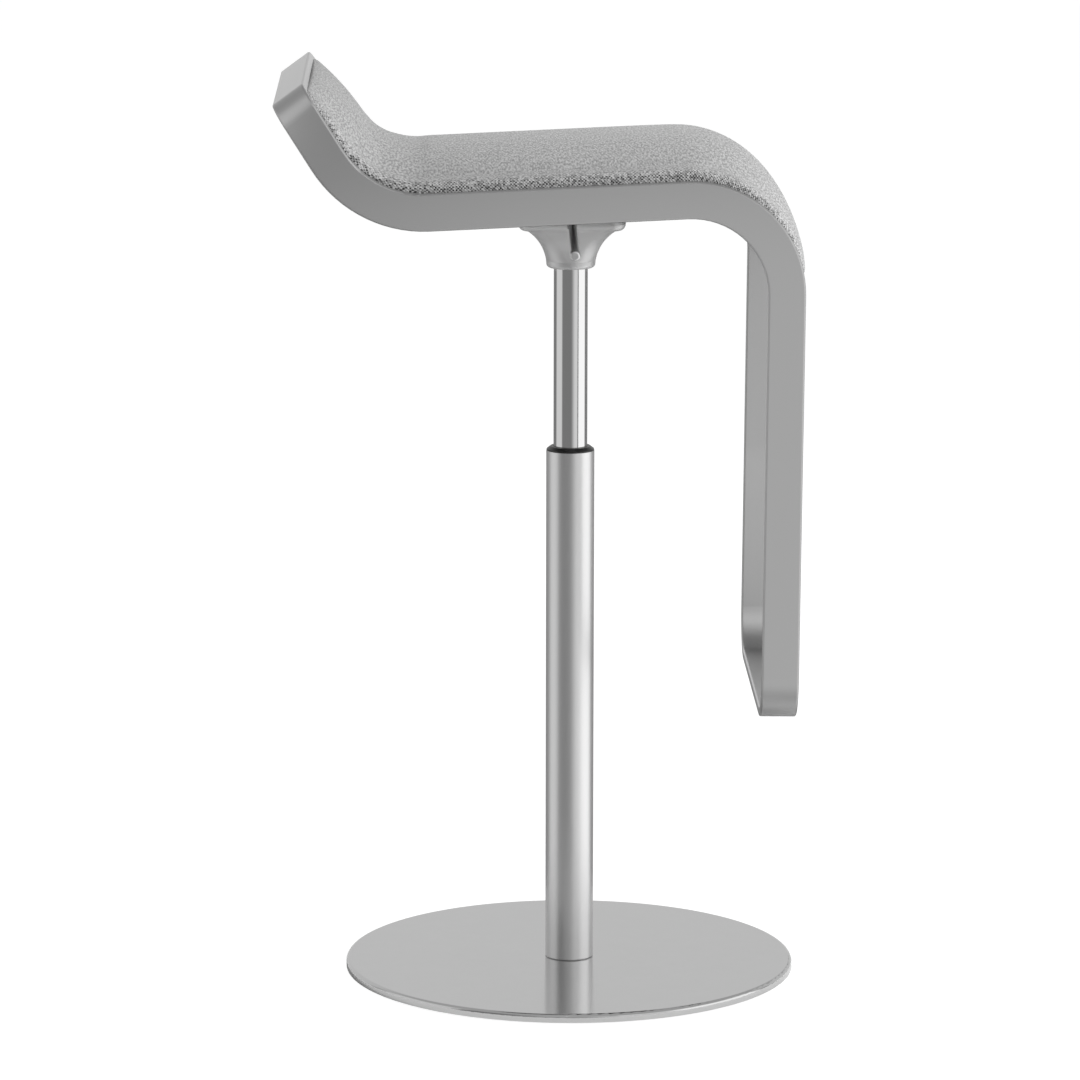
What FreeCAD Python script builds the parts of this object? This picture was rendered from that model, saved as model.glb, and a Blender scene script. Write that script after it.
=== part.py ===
import FreeCAD, Part
import math
import os
import re

import Sketcher

# Bar stool on a gas lift, in millimetres, at the seat height of mid travel.
# +Z is up, +X is the front (the foot loop's side) and -Y is the lever's side.
# The origin is the centre of the base's underside, on the column's axis.

SIZES = {
    # round base
    "base_diameter": 375,
    "base_height": 8,
    "base_edge_radius": 3,
    "cover_wall": 1,
    "skirt_gap": 1,
    "pad_thickness": 1.5,
    "pad_margin": 11.5,
    # column and its foot
    "column_diameter": 40,
    "column_wall": 2,
    "column_length": 432,
    "column_edge": 0.8,
    "plug_length": 32,
    "recess_depth": 12,
    "recess_diameter": 18,
    "base_screw_diameter": 6,
    "base_screw_head": 12,
    "base_screw_length": 24,
    "base_screw_circle": 27,
    "base_screw_count": 3,
    # guide bush in the column's mouth
    "bush_length": 100,
    "bush_flange": 3.5,
    "bush_rim": 1.2,
    "bush_inset": 0.3,
    "bush_bevel": 3,
    # thrust bearing under the rod
    "race_thickness": 2.5,
    "race_diameter": 26,
    "ball_diameter": 4,
    "ball_circle": 18,
    "ball_count": 10,
    "ball_seat": 0.5,
    "ball_play": 0.1,
    "cage_thickness": 1.6,
    "cage_width": 5,
    # gas spring
    "rod_diameter": 10,
    "spigot_diameter": 8,
    "clip_groove": 0.8,
    "clip_thickness": 1.2,
    "clip_diameter": 14,
    "clip_mouth": 5.6,
    "washer_thickness": 1,
    "washer_diameter": 16,
    "spigot_tail": 3,
    "bump_height": 10,
    "bump_diameter": 22,
    "stop_gap": 2,
    "drop_travel": 140,
    "raise_travel": 100,
    "piston_length": 12,
    "cylinder_diameter": 28,
    "cylinder_wall": 1.5,
    "cylinder_reveal": 149,
    "guide_length": 12,
    "taper_length": 40,
    "taper_seat": 37.5,
    "taper_drop": 1,
    "valve_diameter": 21,
    "valve_length": 30,
    "valve_pin_diameter": 6,
    "valve_pin_length": 32,
    "valve_pin_reach": 8,
    # cast hub under the seat
    "hub_foot_radius": 20,
    "hub_foot_height": 6,
    "hub_foot_round": 3.5,
    "flare_radius": 42,
    "flare_height": 34.5,
    "flange_width": 88,
    "flange_corner": 11,
    "flange_round": 6,
    "hub_height": 54.4,
    "cavity_floor": 35.5,
    "cavity_width": 28,
    "cavity_front": 38,
    "cavity_rear": 16,
    "notch_width": 7.8,
    "notch_floor": 37,
    "hub_bolt_pitch": 66,
    "hub_bolt_diameter": 6,
    "hub_bolt_head": 12,
    "hub_bolt_length": 18,
    # height lever
    "pivot_back": 24,
    "pivot_height": 45.5,
    "pivot_diameter": 6,
    "pivot_inset": 0.5,
    "lever_droop": 9.25,
    "lever_diameter": 7,
    "lever_length": 113.7,
    "lever_knob_diameter": 8.5,
    "lever_knob_length": 7,
    "lever_knob_round": 2,
    "lever_socket": 8.5,
    "tongue_width": 18,
    "tongue_block": 11,
    "tongue_front": 12.5,
    "tongue_rear": 5.5,
    "tongue_reach": 29,
    "tongue_thickness": 4,
    "tongue_gap": 0.25,
    # bent flat-bar hoop, drawn on the seat's slope from its lower edge
    "seat_slope": 2.69,
    "hoop_width": 300,
    "bar_width": 30,
    "bar_thickness": 8,
    "bar_edge_radius": 1.6,
    "back_reach": 116.3,
    "back_bend_radius": 105,
    "back_turn": 60.5,
    "back_length": 58.8,
    "end_slant": 4,
    "front_reach": 89.7,
    "front_bend_radius": 61.5,
    "front_turn": 93.15,
    "leg_length": 350.5,
    "back_corner_radius": 20,
    "foot_corner_radius": 40,
    # plate, shell and upholstery inside the hoop
    "plate_rise": 1,
    "plate_thickness": 4,
    "plate_length": 120,
    "shell_thickness": 10,
    "shell_wrap": 83,
    "shell_corner_radius": 13,
    "shell_gap": 0.8,
    "shell_screw_diameter": 5,
    "shell_screw_head": 9,
    "shell_screw_head_height": 2.5,
    "shell_screw_socket": 4,
    "shell_screw_socket_depth": 1.6,
    "shell_screw_length": 11,
    "shell_screw_pitch_x": 96,
    "shell_screw_pitch_y": 220,
    "cloth_thickness": 1.3,
    "foam_gap": 0.9,
    "pad_end_gap": 1.2,
    "pad_front_corner": 4,
    "side_round": 6,
    "side_share": 0.45,
    "back_crown": 14,
    "seat_crown": 25.5,
    "front_crown": 4,
    "end_crown": 1.5,
    "back_round": 45,
    "front_round": 12,
    # clearances
    "snug_fit": 0.05,
    "running_fit": 0.08,
    "loose_fit": 0.3,
}

# Named spans, each an expression on the driving dimensions.
COLUMN_BORE = "(column_diameter / 2 - column_wall)"
PLUG_TOP = "(base_height + plug_length)"
BALL_HEIGHT = f"({PLUG_TOP} + race_thickness + ball_diameter / 2 - ball_seat)"
RACE_LIFT = "(ball_diameter / 2 - ball_seat + ball_play)"
BEARING_TOP = f"({BALL_HEIGHT} + {RACE_LIFT} + race_thickness)"
COLUMN_TOP = "(base_height + column_length)"
HUB_HEIGHT = f"({COLUMN_TOP} + bush_flange + cylinder_reveal)"
SEAT_HEIGHT = f"({HUB_HEIGHT} + hub_height)"
CYLINDER_FOOT = f"({BEARING_TOP} + bump_height + stop_gap + drop_travel)"
CYLINDER_TOP = f"({HUB_HEIGHT} + taper_seat)"
CYLINDER_LENGTH = f"({CYLINDER_TOP} - {CYLINDER_FOOT})"
CYLINDER_BORE = "(cylinder_diameter / 2 - cylinder_wall)"
PISTON_FOOT = f"({CYLINDER_FOOT} + raise_travel + guide_length + stop_gap)"
WASHER_FOOT = "(base_height + recess_depth - running_fit - washer_thickness)"
CLIP_FOOT = f"({WASHER_FOOT} - running_fit - clip_thickness)"
SPIGOT_FOOT = f"({CLIP_FOOT} - spigot_tail)"
PIVOT_HEIGHT = f"({HUB_HEIGHT} + pivot_height)"
SHELL_RISE = "(plate_rise + plate_thickness)"
PAD_RISE = f"({SHELL_RISE} + shell_thickness + loose_fit)"
INNER_HALF = "(hoop_width / 2 - bar_thickness)"
END_TRIM = "(bar_thickness / cos(end_slant))"
END_WIDTH = "(bar_width / cos(end_slant))"
SHELL_HALF = f"({INNER_HALF} - shell_gap)"

doc = FreeCAD.newDocument("bar_stool")
sheet = doc.addObject("Spreadsheet::Sheet", "Dims")
for row, (alias, value) in enumerate(SIZES.items(), start=1):
    sheet.set(f"A{row}", alias)
    sheet.set(f"B{row}", str(value))
    sheet.setAlias(f"B{row}", alias)
doc.recompute()

PIECES = []
ALIAS = re.compile(r"\b[a-z]+(?:_[a-z]+)+\b")


def bound(text):
    """The expression with each size name pointing at its cell."""
    return ALIAS.sub(r"Dims.\g<0>", text)


def size(text):
    """The number that an expression on the sizes stands for."""
    return float(sheet.evalExpression(text))


def new_body(name, height="0", tilted=False):
    """An empty body, placed at a height and, on the seat, at its slope."""
    item = doc.addObject("PartDesign::Body", name)
    item.Label = name
    place(item, height, tilted)
    PIECES.append(item)
    return item


def place(item, height, tilted):
    """Bind an object's place to the sizes."""
    turn = FreeCAD.Rotation(FreeCAD.Vector(0, -1, 0), size("seat_slope") if tilted else 0)
    item.Placement = FreeCAD.Placement(FreeCAD.Vector(0, 0, size(height)), turn)
    item.setExpression("Placement.Base.z", bound(height))
    if tilted:
        item.setExpression("Placement.Rotation.Angle", bound("seat_slope"))


def origin_part(item, role):
    """One of a body's own origin planes or axes."""
    return next(part for part in item.Origin.OriginFeatures if part.Role == role)


def new_sketch(item, name, role="XZ_Plane", lift=None):
    """A sketch on a body's origin plane, lifted along the plane's normal."""
    drawing = item.newObject("Sketcher::SketchObject", name)
    drawing.AttachmentSupport = [(origin_part(item, role), "")]
    drawing.MapMode = "FlatFace"
    if lift:
        drawing.setExpression("AttachmentOffset.Base.z", bound(lift))
    return drawing


def add_size(drawing, constraint, text):
    """Add a dimension to a sketch and bind it."""
    index = drawing.addConstraint(constraint)
    drawing.setExpression(f"Constraints[{index}]", bound(text))


def pin(drawing, curve, point, across=None, up=None):
    """Bind a sketch point's distances from the origin, whichever side it is on."""
    for text, kind, axis in ((across, "DistanceX", -2), (up, "DistanceY", -1)):
        if text is None:
            continue
        value = size(text)
        if abs(value) < 1e-9:
            drawing.addConstraint(Sketcher.Constraint("PointOnObject", curve, point, axis))
        elif value > 0:
            add_size(drawing, Sketcher.Constraint(kind, -1, 1, curve, point, value), text)
        else:
            add_size(drawing, Sketcher.Constraint(kind, curve, point, -1, 1, -value), f"-({text})")


def draw_outline(drawing, corners):
    """A closed outline of straight lines; level and upright lines are held as such."""
    spots = [FreeCAD.Vector(size(across), size(up), 0) for across, up in corners]
    lines = [drawing.addGeometry(Part.LineSegment(spot, spots[(number + 1) % len(spots)]))
             for number, spot in enumerate(spots)]
    for number, line in enumerate(lines):
        follower = lines[(number + 1) % len(lines)]
        drawing.addConstraint(Sketcher.Constraint("Coincident", line, 2, follower, 1))
    pin(drawing, lines[0], 1, *corners[0])
    for number in range(1, len(corners)):
        (across, up), (last_across, last_up) = corners[number], corners[number - 1]
        if across == last_across:
            drawing.addConstraint(Sketcher.Constraint("Vertical", lines[number - 1]))
            pin(drawing, lines[number], 1, up=up)
        elif up == last_up:
            drawing.addConstraint(Sketcher.Constraint("Horizontal", lines[number - 1]))
            pin(drawing, lines[number], 1, across=across)
        else:
            pin(drawing, lines[number], 1, across, up)
    return lines


def draw_circle(drawing, radius, across="0", up="0"):
    """A circle with a bound centre and radius."""
    centre = FreeCAD.Vector(size(across), size(up), 0)
    ring = drawing.addGeometry(Part.Circle(centre, FreeCAD.Vector(0, 0, 1), size(radius)))
    pin(drawing, ring, 3, across, up)
    add_size(drawing, Sketcher.Constraint("Radius", ring, size(radius)), radius)


def draw_rounded_square(drawing, half, corner):
    """A square about the origin, with round corners."""
    flat = f"({half} - ({corner}))"
    reach = size(half)
    straight = size(flat)
    quarter = math.pi / 2
    sides = []
    for turn in range(4):
        spin = FreeCAD.Rotation(FreeCAD.Vector(0, 0, 1), 90 * turn)
        start = spin.multVec(FreeCAD.Vector(reach, -straight, 0))
        end = spin.multVec(FreeCAD.Vector(reach, straight, 0))
        sides.append(drawing.addGeometry(Part.LineSegment(start, end)))
    for turn in range(4):
        spin = FreeCAD.Rotation(FreeCAD.Vector(0, 0, 1), 90 * turn)
        centre = spin.multVec(FreeCAD.Vector(straight, straight, 0))
        ring = Part.Circle(centre, FreeCAD.Vector(0, 0, 1), size(corner))
        bend = drawing.addGeometry(Part.ArcOfCircle(ring, quarter * turn, quarter * (turn + 1)))
        drawing.addConstraint(Sketcher.Constraint("Coincident", sides[turn], 2, bend, 1))
        drawing.addConstraint(Sketcher.Constraint("Coincident", bend, 2, sides[(turn + 1) % 4], 1))
        add_size(drawing, Sketcher.Constraint("Radius", bend, size(corner)), corner)
    for side, across, up in zip(sides, (half, flat, f"-{half}", f"-{flat}"),
                                (f"-{flat}", half, flat, f"-{half}")):
        pin(drawing, side, 1, across, up)
    for side, across, up in zip(sides, (half, f"-{flat}", f"-{half}", flat),
                                (flat, half, f"-{flat}", f"-{half}")):
        pin(drawing, side, 2, across, up)


def pad(item, drawing, name, length, middle=False):
    """Raise a sketch into a solid."""
    feature = item.newObject("PartDesign::Pad", name)
    feature.Profile = drawing
    feature.Midplane = middle
    feature.setExpression("Length", bound(length))
    return feature


def pocket(item, drawing, name, depth=None, middle=False, upward=False):
    """Cut a sketch into the solid, right through where no depth is given."""
    feature = item.newObject("PartDesign::Pocket", name)
    feature.Profile = drawing
    feature.Midplane = middle
    feature.Reversed = upward
    if depth:
        feature.setExpression("Length", bound(depth))
    else:
        feature.Type = "ThroughAll"
    return feature


def turn_about(item, drawing, kind, name, axis="V_Axis"):
    """Revolve a sketch about an axis, as a solid or as a cut."""
    feature = item.newObject(f"PartDesign::{kind}", name)
    feature.Profile = drawing
    feature.ReferenceAxis = (drawing, [axis])
    feature.Angle = 360
    return feature


def turned(name, corners, height="0", tilted=False):
    """A body turned from an outline of (radius, height) corners."""
    item = new_body(name, height, tilted)
    drawing = new_sketch(item, f"{name}_outline")
    draw_outline(drawing, corners)
    turn_about(item, drawing, "Revolution", f"{name}_turn")
    return item


def off_axis(item, kind, name, radius, corners, spin=0):
    """Turn an outline about an upright line that stands off the body's axis."""
    drawing = new_sketch(item, f"{name}_outline")
    drawing.AttachmentOffset = FreeCAD.Placement(
        FreeCAD.Vector(), FreeCAD.Rotation(FreeCAD.Vector(0, 1, 0), spin))
    draw_outline(drawing, [(f"{radius} + {across}", up) for across, up in corners])
    foot = FreeCAD.Vector(size(radius), 0, 0)
    axis = drawing.addGeometry(Part.LineSegment(foot, foot + FreeCAD.Vector(0, 1, 0)), True)
    drawing.addConstraint(Sketcher.Constraint("Vertical", axis))
    pin(drawing, axis, 1, radius, "0")
    pin(drawing, axis, 2, up="1")
    return turn_about(item, drawing, kind, f"{name}_turn", "Axis0")


def ring_of(item, feature, name, count):
    """Repeat a feature about the body's axis."""
    doc.recompute()
    pattern = item.newObject("PartDesign::PolarPattern", name)
    pattern.Originals = [feature]
    pattern.Axis = (origin_part(item, "Z_Axis"), [""])
    pattern.Angle = 360
    if isinstance(count, str):
        pattern.setExpression("Occurrences", bound(count))
    else:
        pattern.Occurrences = count
    item.Tip = pattern
    doc.recompute()
    return pattern


def soften(item, name, radius, chosen, kind="Fillet"):
    """Round or bevel the edges of a body's solid that a test picks."""
    doc.recompute()
    base = item.Tip
    names = [f"Edge{number}" for number, edge in enumerate(base.Shape.Edges, start=1) if chosen(edge)]
    if not names:
        raise RuntimeError(f"{name}: no edge to soften")
    feature = item.newObject(f"PartDesign::{kind}", name)
    feature.Base = (base, names)
    feature.setExpression("Radius" if kind == "Fillet" else "Size", bound(radius))
    doc.recompute()
    return feature


def is_rim(radius, height):
    """A test for the round edge of a radius at a height, in the body's own frame."""
    def test(edge):
        curve = edge.Curve
        if not isinstance(curve, Part.Circle):
            return False
        return abs(curve.Radius - size(radius)) < 1e-4 and abs(curve.Center.z - size(height)) < 1e-4
    return test


# Base

def make_floor_pad():
    radius = "base_diameter / 2 - pad_margin"
    turned("floor_pad", [("0", "0"), (radius, "0"), (radius, "pad_thickness"), ("0", "pad_thickness")])


def countersunk(play, diameter, head, length):
    """Half outline of a countersunk screw standing on its head, or of its hole."""
    shank = f"({diameter} / 2 + {play})"
    rim = f"({head} / 2 + {play})"
    return [("0", "0"), (rim, "0"), (shank, f"{rim} - {shank}"), (shank, length), ("0", length)]


BASE_SCREW = ("base_screw_diameter", "base_screw_head")
BASE_SCREW_RADIUS = "base_screw_circle / 2"


def make_base_plate():
    radius = "base_diameter / 2 - cover_wall - loose_fit"
    rise = "base_height - cover_wall - pad_thickness"
    item = turned("base_plate", [("0", "0"), (radius, "0"), (radius, rise), ("0", rise)], "pad_thickness")
    soften(item, "base_plate_edge", "base_edge_radius - cover_wall", is_rim(radius, rise))
    hole = countersunk("running_fit", *BASE_SCREW, "base_screw_length")
    cut = off_axis(item, "Groove", "base_plate_hole", BASE_SCREW_RADIUS, hole)
    ring_of(item, cut, "base_plate_holes", "base_screw_count")


def make_base_cover():
    outer = "base_diameter / 2"
    inner = "base_diameter / 2 - cover_wall"
    top = "base_height - skirt_gap"
    ceiling = "base_height - skirt_gap - cover_wall"
    item = turned("base_cover", [("0", top), (outer, top), (outer, "0"), (inner, "0"),
                                 (inner, ceiling), ("0", ceiling)], "skirt_gap")
    soften(item, "base_cover_edge", "base_edge_radius", is_rim(outer, top))
    soften(item, "base_cover_fold", "base_edge_radius - cover_wall", is_rim(inner, ceiling))
    drawing = new_sketch(item, "base_cover_hole", "XY_Plane")
    draw_circle(drawing, "base_screw_diameter / 2 + running_fit", BASE_SCREW_RADIUS)
    cut = pocket(item, drawing, "base_cover_drill", upward=True)
    ring_of(item, cut, "base_cover_holes", "base_screw_count")


def make_base_screws():
    item = new_body("base_screws", "pad_thickness")
    screw = countersunk("0", *BASE_SCREW, "base_screw_length")
    turn = off_axis(item, "Revolution", "base_screw", BASE_SCREW_RADIUS, screw)
    ring_of(item, turn, "base_screws_ring", "base_screw_count")


# Column

def make_column_tube():
    outer = "column_diameter / 2"
    item = turned("column_tube", [(COLUMN_BORE, "0"), (outer, "0"), (outer, "column_length"),
                                  (COLUMN_BORE, "column_length")], "base_height")
    soften(item, "column_foot_edge", "column_edge", is_rim(outer, "0"), "Chamfer")


def make_foot_plug():
    outer = f"{COLUMN_BORE} - snug_fit"
    bore = "spigot_diameter / 2 + running_fit"
    recess = "recess_diameter / 2"
    item = turned("foot_plug", [(recess, "0"), (outer, "0"), (outer, "plug_length"), (bore, "plug_length"),
                                (bore, "recess_depth"), (recess, "recess_depth")], "base_height")
    drawing = new_sketch(item, "foot_plug_thread", "XY_Plane")
    draw_circle(drawing, "base_screw_diameter / 2 + snug_fit", BASE_SCREW_RADIUS)
    reach = "pad_thickness + base_screw_length - base_height + stop_gap"
    cut = pocket(item, drawing, "foot_plug_tap", reach, upward=True)
    ring_of(item, cut, "foot_plug_threads", "base_screw_count")


def make_guide_bush():
    bore = "cylinder_diameter / 2 + running_fit"
    sleeve = f"{COLUMN_BORE} - snug_fit"
    rim = "column_diameter / 2 - bush_inset"
    mouth = "bush_length + bush_flange"
    item = turned("guide_bush", [(bore, "0"), (sleeve, "0"), (sleeve, "bush_length"), (rim, "bush_length"),
                                 (rim, "bush_length + bush_rim"), (f"{rim} - bush_bevel", mouth),
                                 (bore, mouth)], f"{COLUMN_TOP} - bush_length")
    soften(item, "guide_bush_lip", "bush_inset", is_rim(bore, mouth))


# Thrust bearing

RACE_BORE = "spigot_diameter / 2 + loose_fit"


def make_race(name, height, groove_height, groove_radius):
    """A flat ring with a ball track around one face."""
    outer = "race_diameter / 2"
    item = turned(name, [(RACE_BORE, "0"), (outer, "0"), (outer, "race_thickness"),
                         (RACE_BORE, "race_thickness")], height)
    drawing = new_sketch(item, f"{name}_track")
    draw_circle(drawing, groove_radius, "ball_circle / 2", groove_height)
    turn_about(item, drawing, "Groove", f"{name}_groove")


def make_bearing():
    make_race("bearing_lower_race", PLUG_TOP, "race_thickness + ball_diameter / 2 - ball_seat",
              "ball_diameter / 2 + snug_fit")
    make_race("bearing_upper_race", f"{BALL_HEIGHT} + {RACE_LIFT}", f"-{RACE_LIFT}",
              "ball_diameter / 2 + ball_play")
    make_bearing_balls()
    make_bearing_cage()


def make_bearing_balls():
    item = new_body("bearing_balls", BALL_HEIGHT)
    ball = item.newObject("PartDesign::AdditiveSphere", "bearing_ball")
    ball.setExpression("Radius", bound("ball_diameter / 2"))
    ball.setExpression("Placement.Base.x", bound("ball_circle / 2"))
    ring_of(item, ball, "bearing_ball_ring", "ball_count")


def make_bearing_cage():
    inner = "ball_circle / 2 - cage_width / 2"
    outer = "ball_circle / 2 + cage_width / 2"
    item = turned("bearing_cage", [(inner, "0"), (outer, "0"), (outer, "cage_thickness"),
                                   (inner, "cage_thickness")], f"{BALL_HEIGHT} - cage_thickness / 2")
    drawing = new_sketch(item, "bearing_cage_hole", "XY_Plane")
    draw_circle(drawing, "ball_diameter / 2 + ball_play", "ball_circle / 2")
    cut = pocket(item, drawing, "bearing_cage_drill", upward=True)
    ring_of(item, cut, "bearing_cage_holes", "ball_count")


# Gas spring

def make_piston_rod():
    spigot = "spigot_diameter / 2"
    groove = "spigot_diameter / 2 - clip_groove"
    rod = "rod_diameter / 2"
    foot = SPIGOT_FOOT
    notch = f"{CLIP_FOOT} - {foot}"
    notch_top = f"{CLIP_FOOT} + clip_thickness + running_fit - {foot}"
    shoulder = f"{BEARING_TOP} - {foot}"
    seat = f"{PISTON_FOOT} - {foot}"
    top = f"{PISTON_FOOT} + piston_length - {foot}"
    item = turned("piston_rod", [("0", "0"), (spigot, "0"), (spigot, notch), (groove, notch),
                                 (groove, notch_top), (spigot, notch_top), (spigot, shoulder),
                                 (rod, shoulder), (rod, seat), (spigot, seat), (spigot, top),
                                 ("0", top)], foot)
    soften(item, "piston_rod_end", "clip_groove", is_rim(spigot, top), "Chamfer")


def make_rod_washer():
    bore = "spigot_diameter / 2 + running_fit"
    outer = "washer_diameter / 2"
    turned("rod_washer", [(bore, "0"), (outer, "0"), (outer, "washer_thickness"),
                          (bore, "washer_thickness")], WASHER_FOOT)


def make_rod_clip():
    bore = "spigot_diameter / 2 - clip_groove + snug_fit"
    outer = "clip_diameter / 2"
    item = turned("rod_clip", [(bore, "0"), (outer, "0"), (outer, "clip_thickness"),
                               (bore, "clip_thickness")], CLIP_FOOT)
    drawing = new_sketch(item, "rod_clip_mouth", "XY_Plane")
    draw_outline(drawing, [("0", "-clip_mouth / 2"), ("clip_diameter", "-clip_mouth / 2"),
                           ("clip_diameter", "clip_mouth / 2"), ("0", "clip_mouth / 2")])
    pocket(item, drawing, "rod_clip_cut", upward=True)


def make_bump_stop():
    bore = "rod_diameter / 2 + snug_fit"
    outer = "bump_diameter / 2"
    item = turned("bump_stop", [(bore, "0"), (outer, "0"), (outer, "bump_height"),
                                (bore, "bump_height")], BEARING_TOP)
    soften(item, "bump_stop_round", "bump_height / 4", is_rim(outer, "bump_height"))


def make_piston():
    bore = "spigot_diameter / 2 + snug_fit"
    outer = f"{CYLINDER_BORE} - running_fit"
    groove = f"{CYLINDER_BORE} - cylinder_wall"
    turned("piston", [(bore, "0"), (outer, "0"), (outer, "piston_length / 3"), (groove, "piston_length / 3"),
                      (groove, "piston_length * 2 / 3"), (outer, "piston_length * 2 / 3"),
                      (outer, "piston_length"), (bore, "piston_length")], PISTON_FOOT)


VALVE_BORE = "(valve_diameter / 2 + snug_fit)"


def make_gas_cylinder():
    outer = "cylinder_diameter / 2"
    neck = "cylinder_diameter / 2 - taper_drop"
    shelf = f"{CYLINDER_LENGTH} - valve_length"
    item = turned("gas_cylinder", [(CYLINDER_BORE, "0"), (outer, "0"),
                                   (outer, f"{CYLINDER_LENGTH} - taper_length"), (neck, CYLINDER_LENGTH),
                                   (VALVE_BORE, CYLINDER_LENGTH), (VALVE_BORE, shelf),
                                   (CYLINDER_BORE, f"{shelf} - cylinder_wall")], CYLINDER_FOOT)
    soften(item, "gas_cylinder_lip", "cylinder_wall / 2", is_rim(outer, "0"))


def make_rod_guide():
    bore = "rod_diameter / 2 + running_fit"
    outer = f"{CYLINDER_BORE} - snug_fit"
    turned("rod_guide", [(bore, "0"), (outer, "0"), (outer, "guide_length"), (bore, "guide_length")],
           CYLINDER_FOOT)


def make_valve_body():
    bore = "valve_pin_diameter / 2 + running_fit"
    outer = "valve_diameter / 2"
    turned("valve_body", [(bore, "0"), (outer, "0"), (outer, "valve_length"), (bore, "valve_length")],
           f"{CYLINDER_TOP} - valve_length")


def make_valve_pin():
    radius = "valve_pin_diameter / 2"
    item = turned("valve_pin", [("0", "0"), (radius, "0"), (radius, "valve_pin_length"),
                                ("0", "valve_pin_length")],
                  f"{CYLINDER_TOP} + valve_pin_reach - valve_pin_length")
    soften(item, "valve_pin_round", "valve_pin_diameter / 10", is_rim(radius, "valve_pin_length"))


# Cast hub

FLARE_STEPS = 5
NEAR_ROUND = "snug_fit"


def flare_half(height):
    """Half width of the hub's concave flare at a height over its foot."""
    return f"(hub_foot_radius + flare_radius - sqrt(flare_radius * flare_radius - {height} * {height}))"


def taper_radius(height):
    """Radius of the hub's taper bore at a height over its foot."""
    rise = f"({height} - taper_seat + taper_length)"
    return f"(cylinder_diameter / 2 + snug_fit - taper_drop * {rise} / taper_length)"


def make_seat_hub():
    """A round foot that flares into a square flange, bored for the gas spring's taper."""
    foot_top = flare_half("hub_foot_height")
    item = turned("seat_hub", [("0", "0"), ("hub_foot_radius", "0"), (foot_top, "hub_foot_height"),
                               ("0", "hub_foot_height")], HUB_HEIGHT)
    soften(item, "seat_hub_foot_round", "hub_foot_round", is_rim("hub_foot_radius", "0"))
    sections = []
    for step in range(FLARE_STEPS + 1):
        share = step / FLARE_STEPS
        rise = f"(hub_foot_height + (flare_height - hub_foot_height) * {share})"
        half = flare_half(rise)
        corner = f"(({half} - {NEAR_ROUND}) * (1 - sqrt({share})) + flange_corner * sqrt({share}))"
        drawing = new_sketch(item, f"seat_hub_flare_{step}", "XY_Plane", rise)
        draw_rounded_square(drawing, half, corner)
        sections.append(drawing)
    flare = item.newObject("PartDesign::AdditiveLoft", "seat_hub_flare")
    flare.Profile = sections[0]
    flare.Sections = sections[1:]
    add_flange(item)
    cut_hub_top(item)
    cut_hub_inside(item)


def add_flange(item):
    """The square flange that the plate is bolted down to."""
    drawing = new_sketch(item, "seat_hub_square", "XY_Plane", "flare_height")
    draw_rounded_square(drawing, "flange_width / 2", "flange_corner")
    pad(item, drawing, "seat_hub_flange", "flange_width / 2")
    doc.recompute()

    def lower_edge(edge):
        box = edge.BoundBox
        outside = max(abs(box.XMin), abs(box.XMax), abs(box.YMin), abs(box.YMax))
        level = max(abs(box.ZMin - size("flare_height")), abs(box.ZMax - size("flare_height")))
        return level < 1e-3 and outside > size("flange_width / 2") - 1e-2
    soften(item, "seat_hub_flange_round", "flange_round", lower_edge)


def cut_hub_top(item):
    """Cut the flange's top face to the seat's slope."""
    reach = "flange_width"
    middle = "(hub_height + plate_rise / cos(seat_slope))"
    drawing = new_sketch(item, "seat_hub_slope")
    draw_outline(drawing, [(f"-{reach}", f"{middle} - {reach} * tan(seat_slope)"),
                           (reach, f"{middle} + {reach} * tan(seat_slope)"),
                           (reach, f"{middle} + {reach}"), (f"-{reach}", f"{middle} + {reach}")])
    pocket(item, drawing, "seat_hub_top_cut", middle=True)
    doc.recompute()


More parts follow.
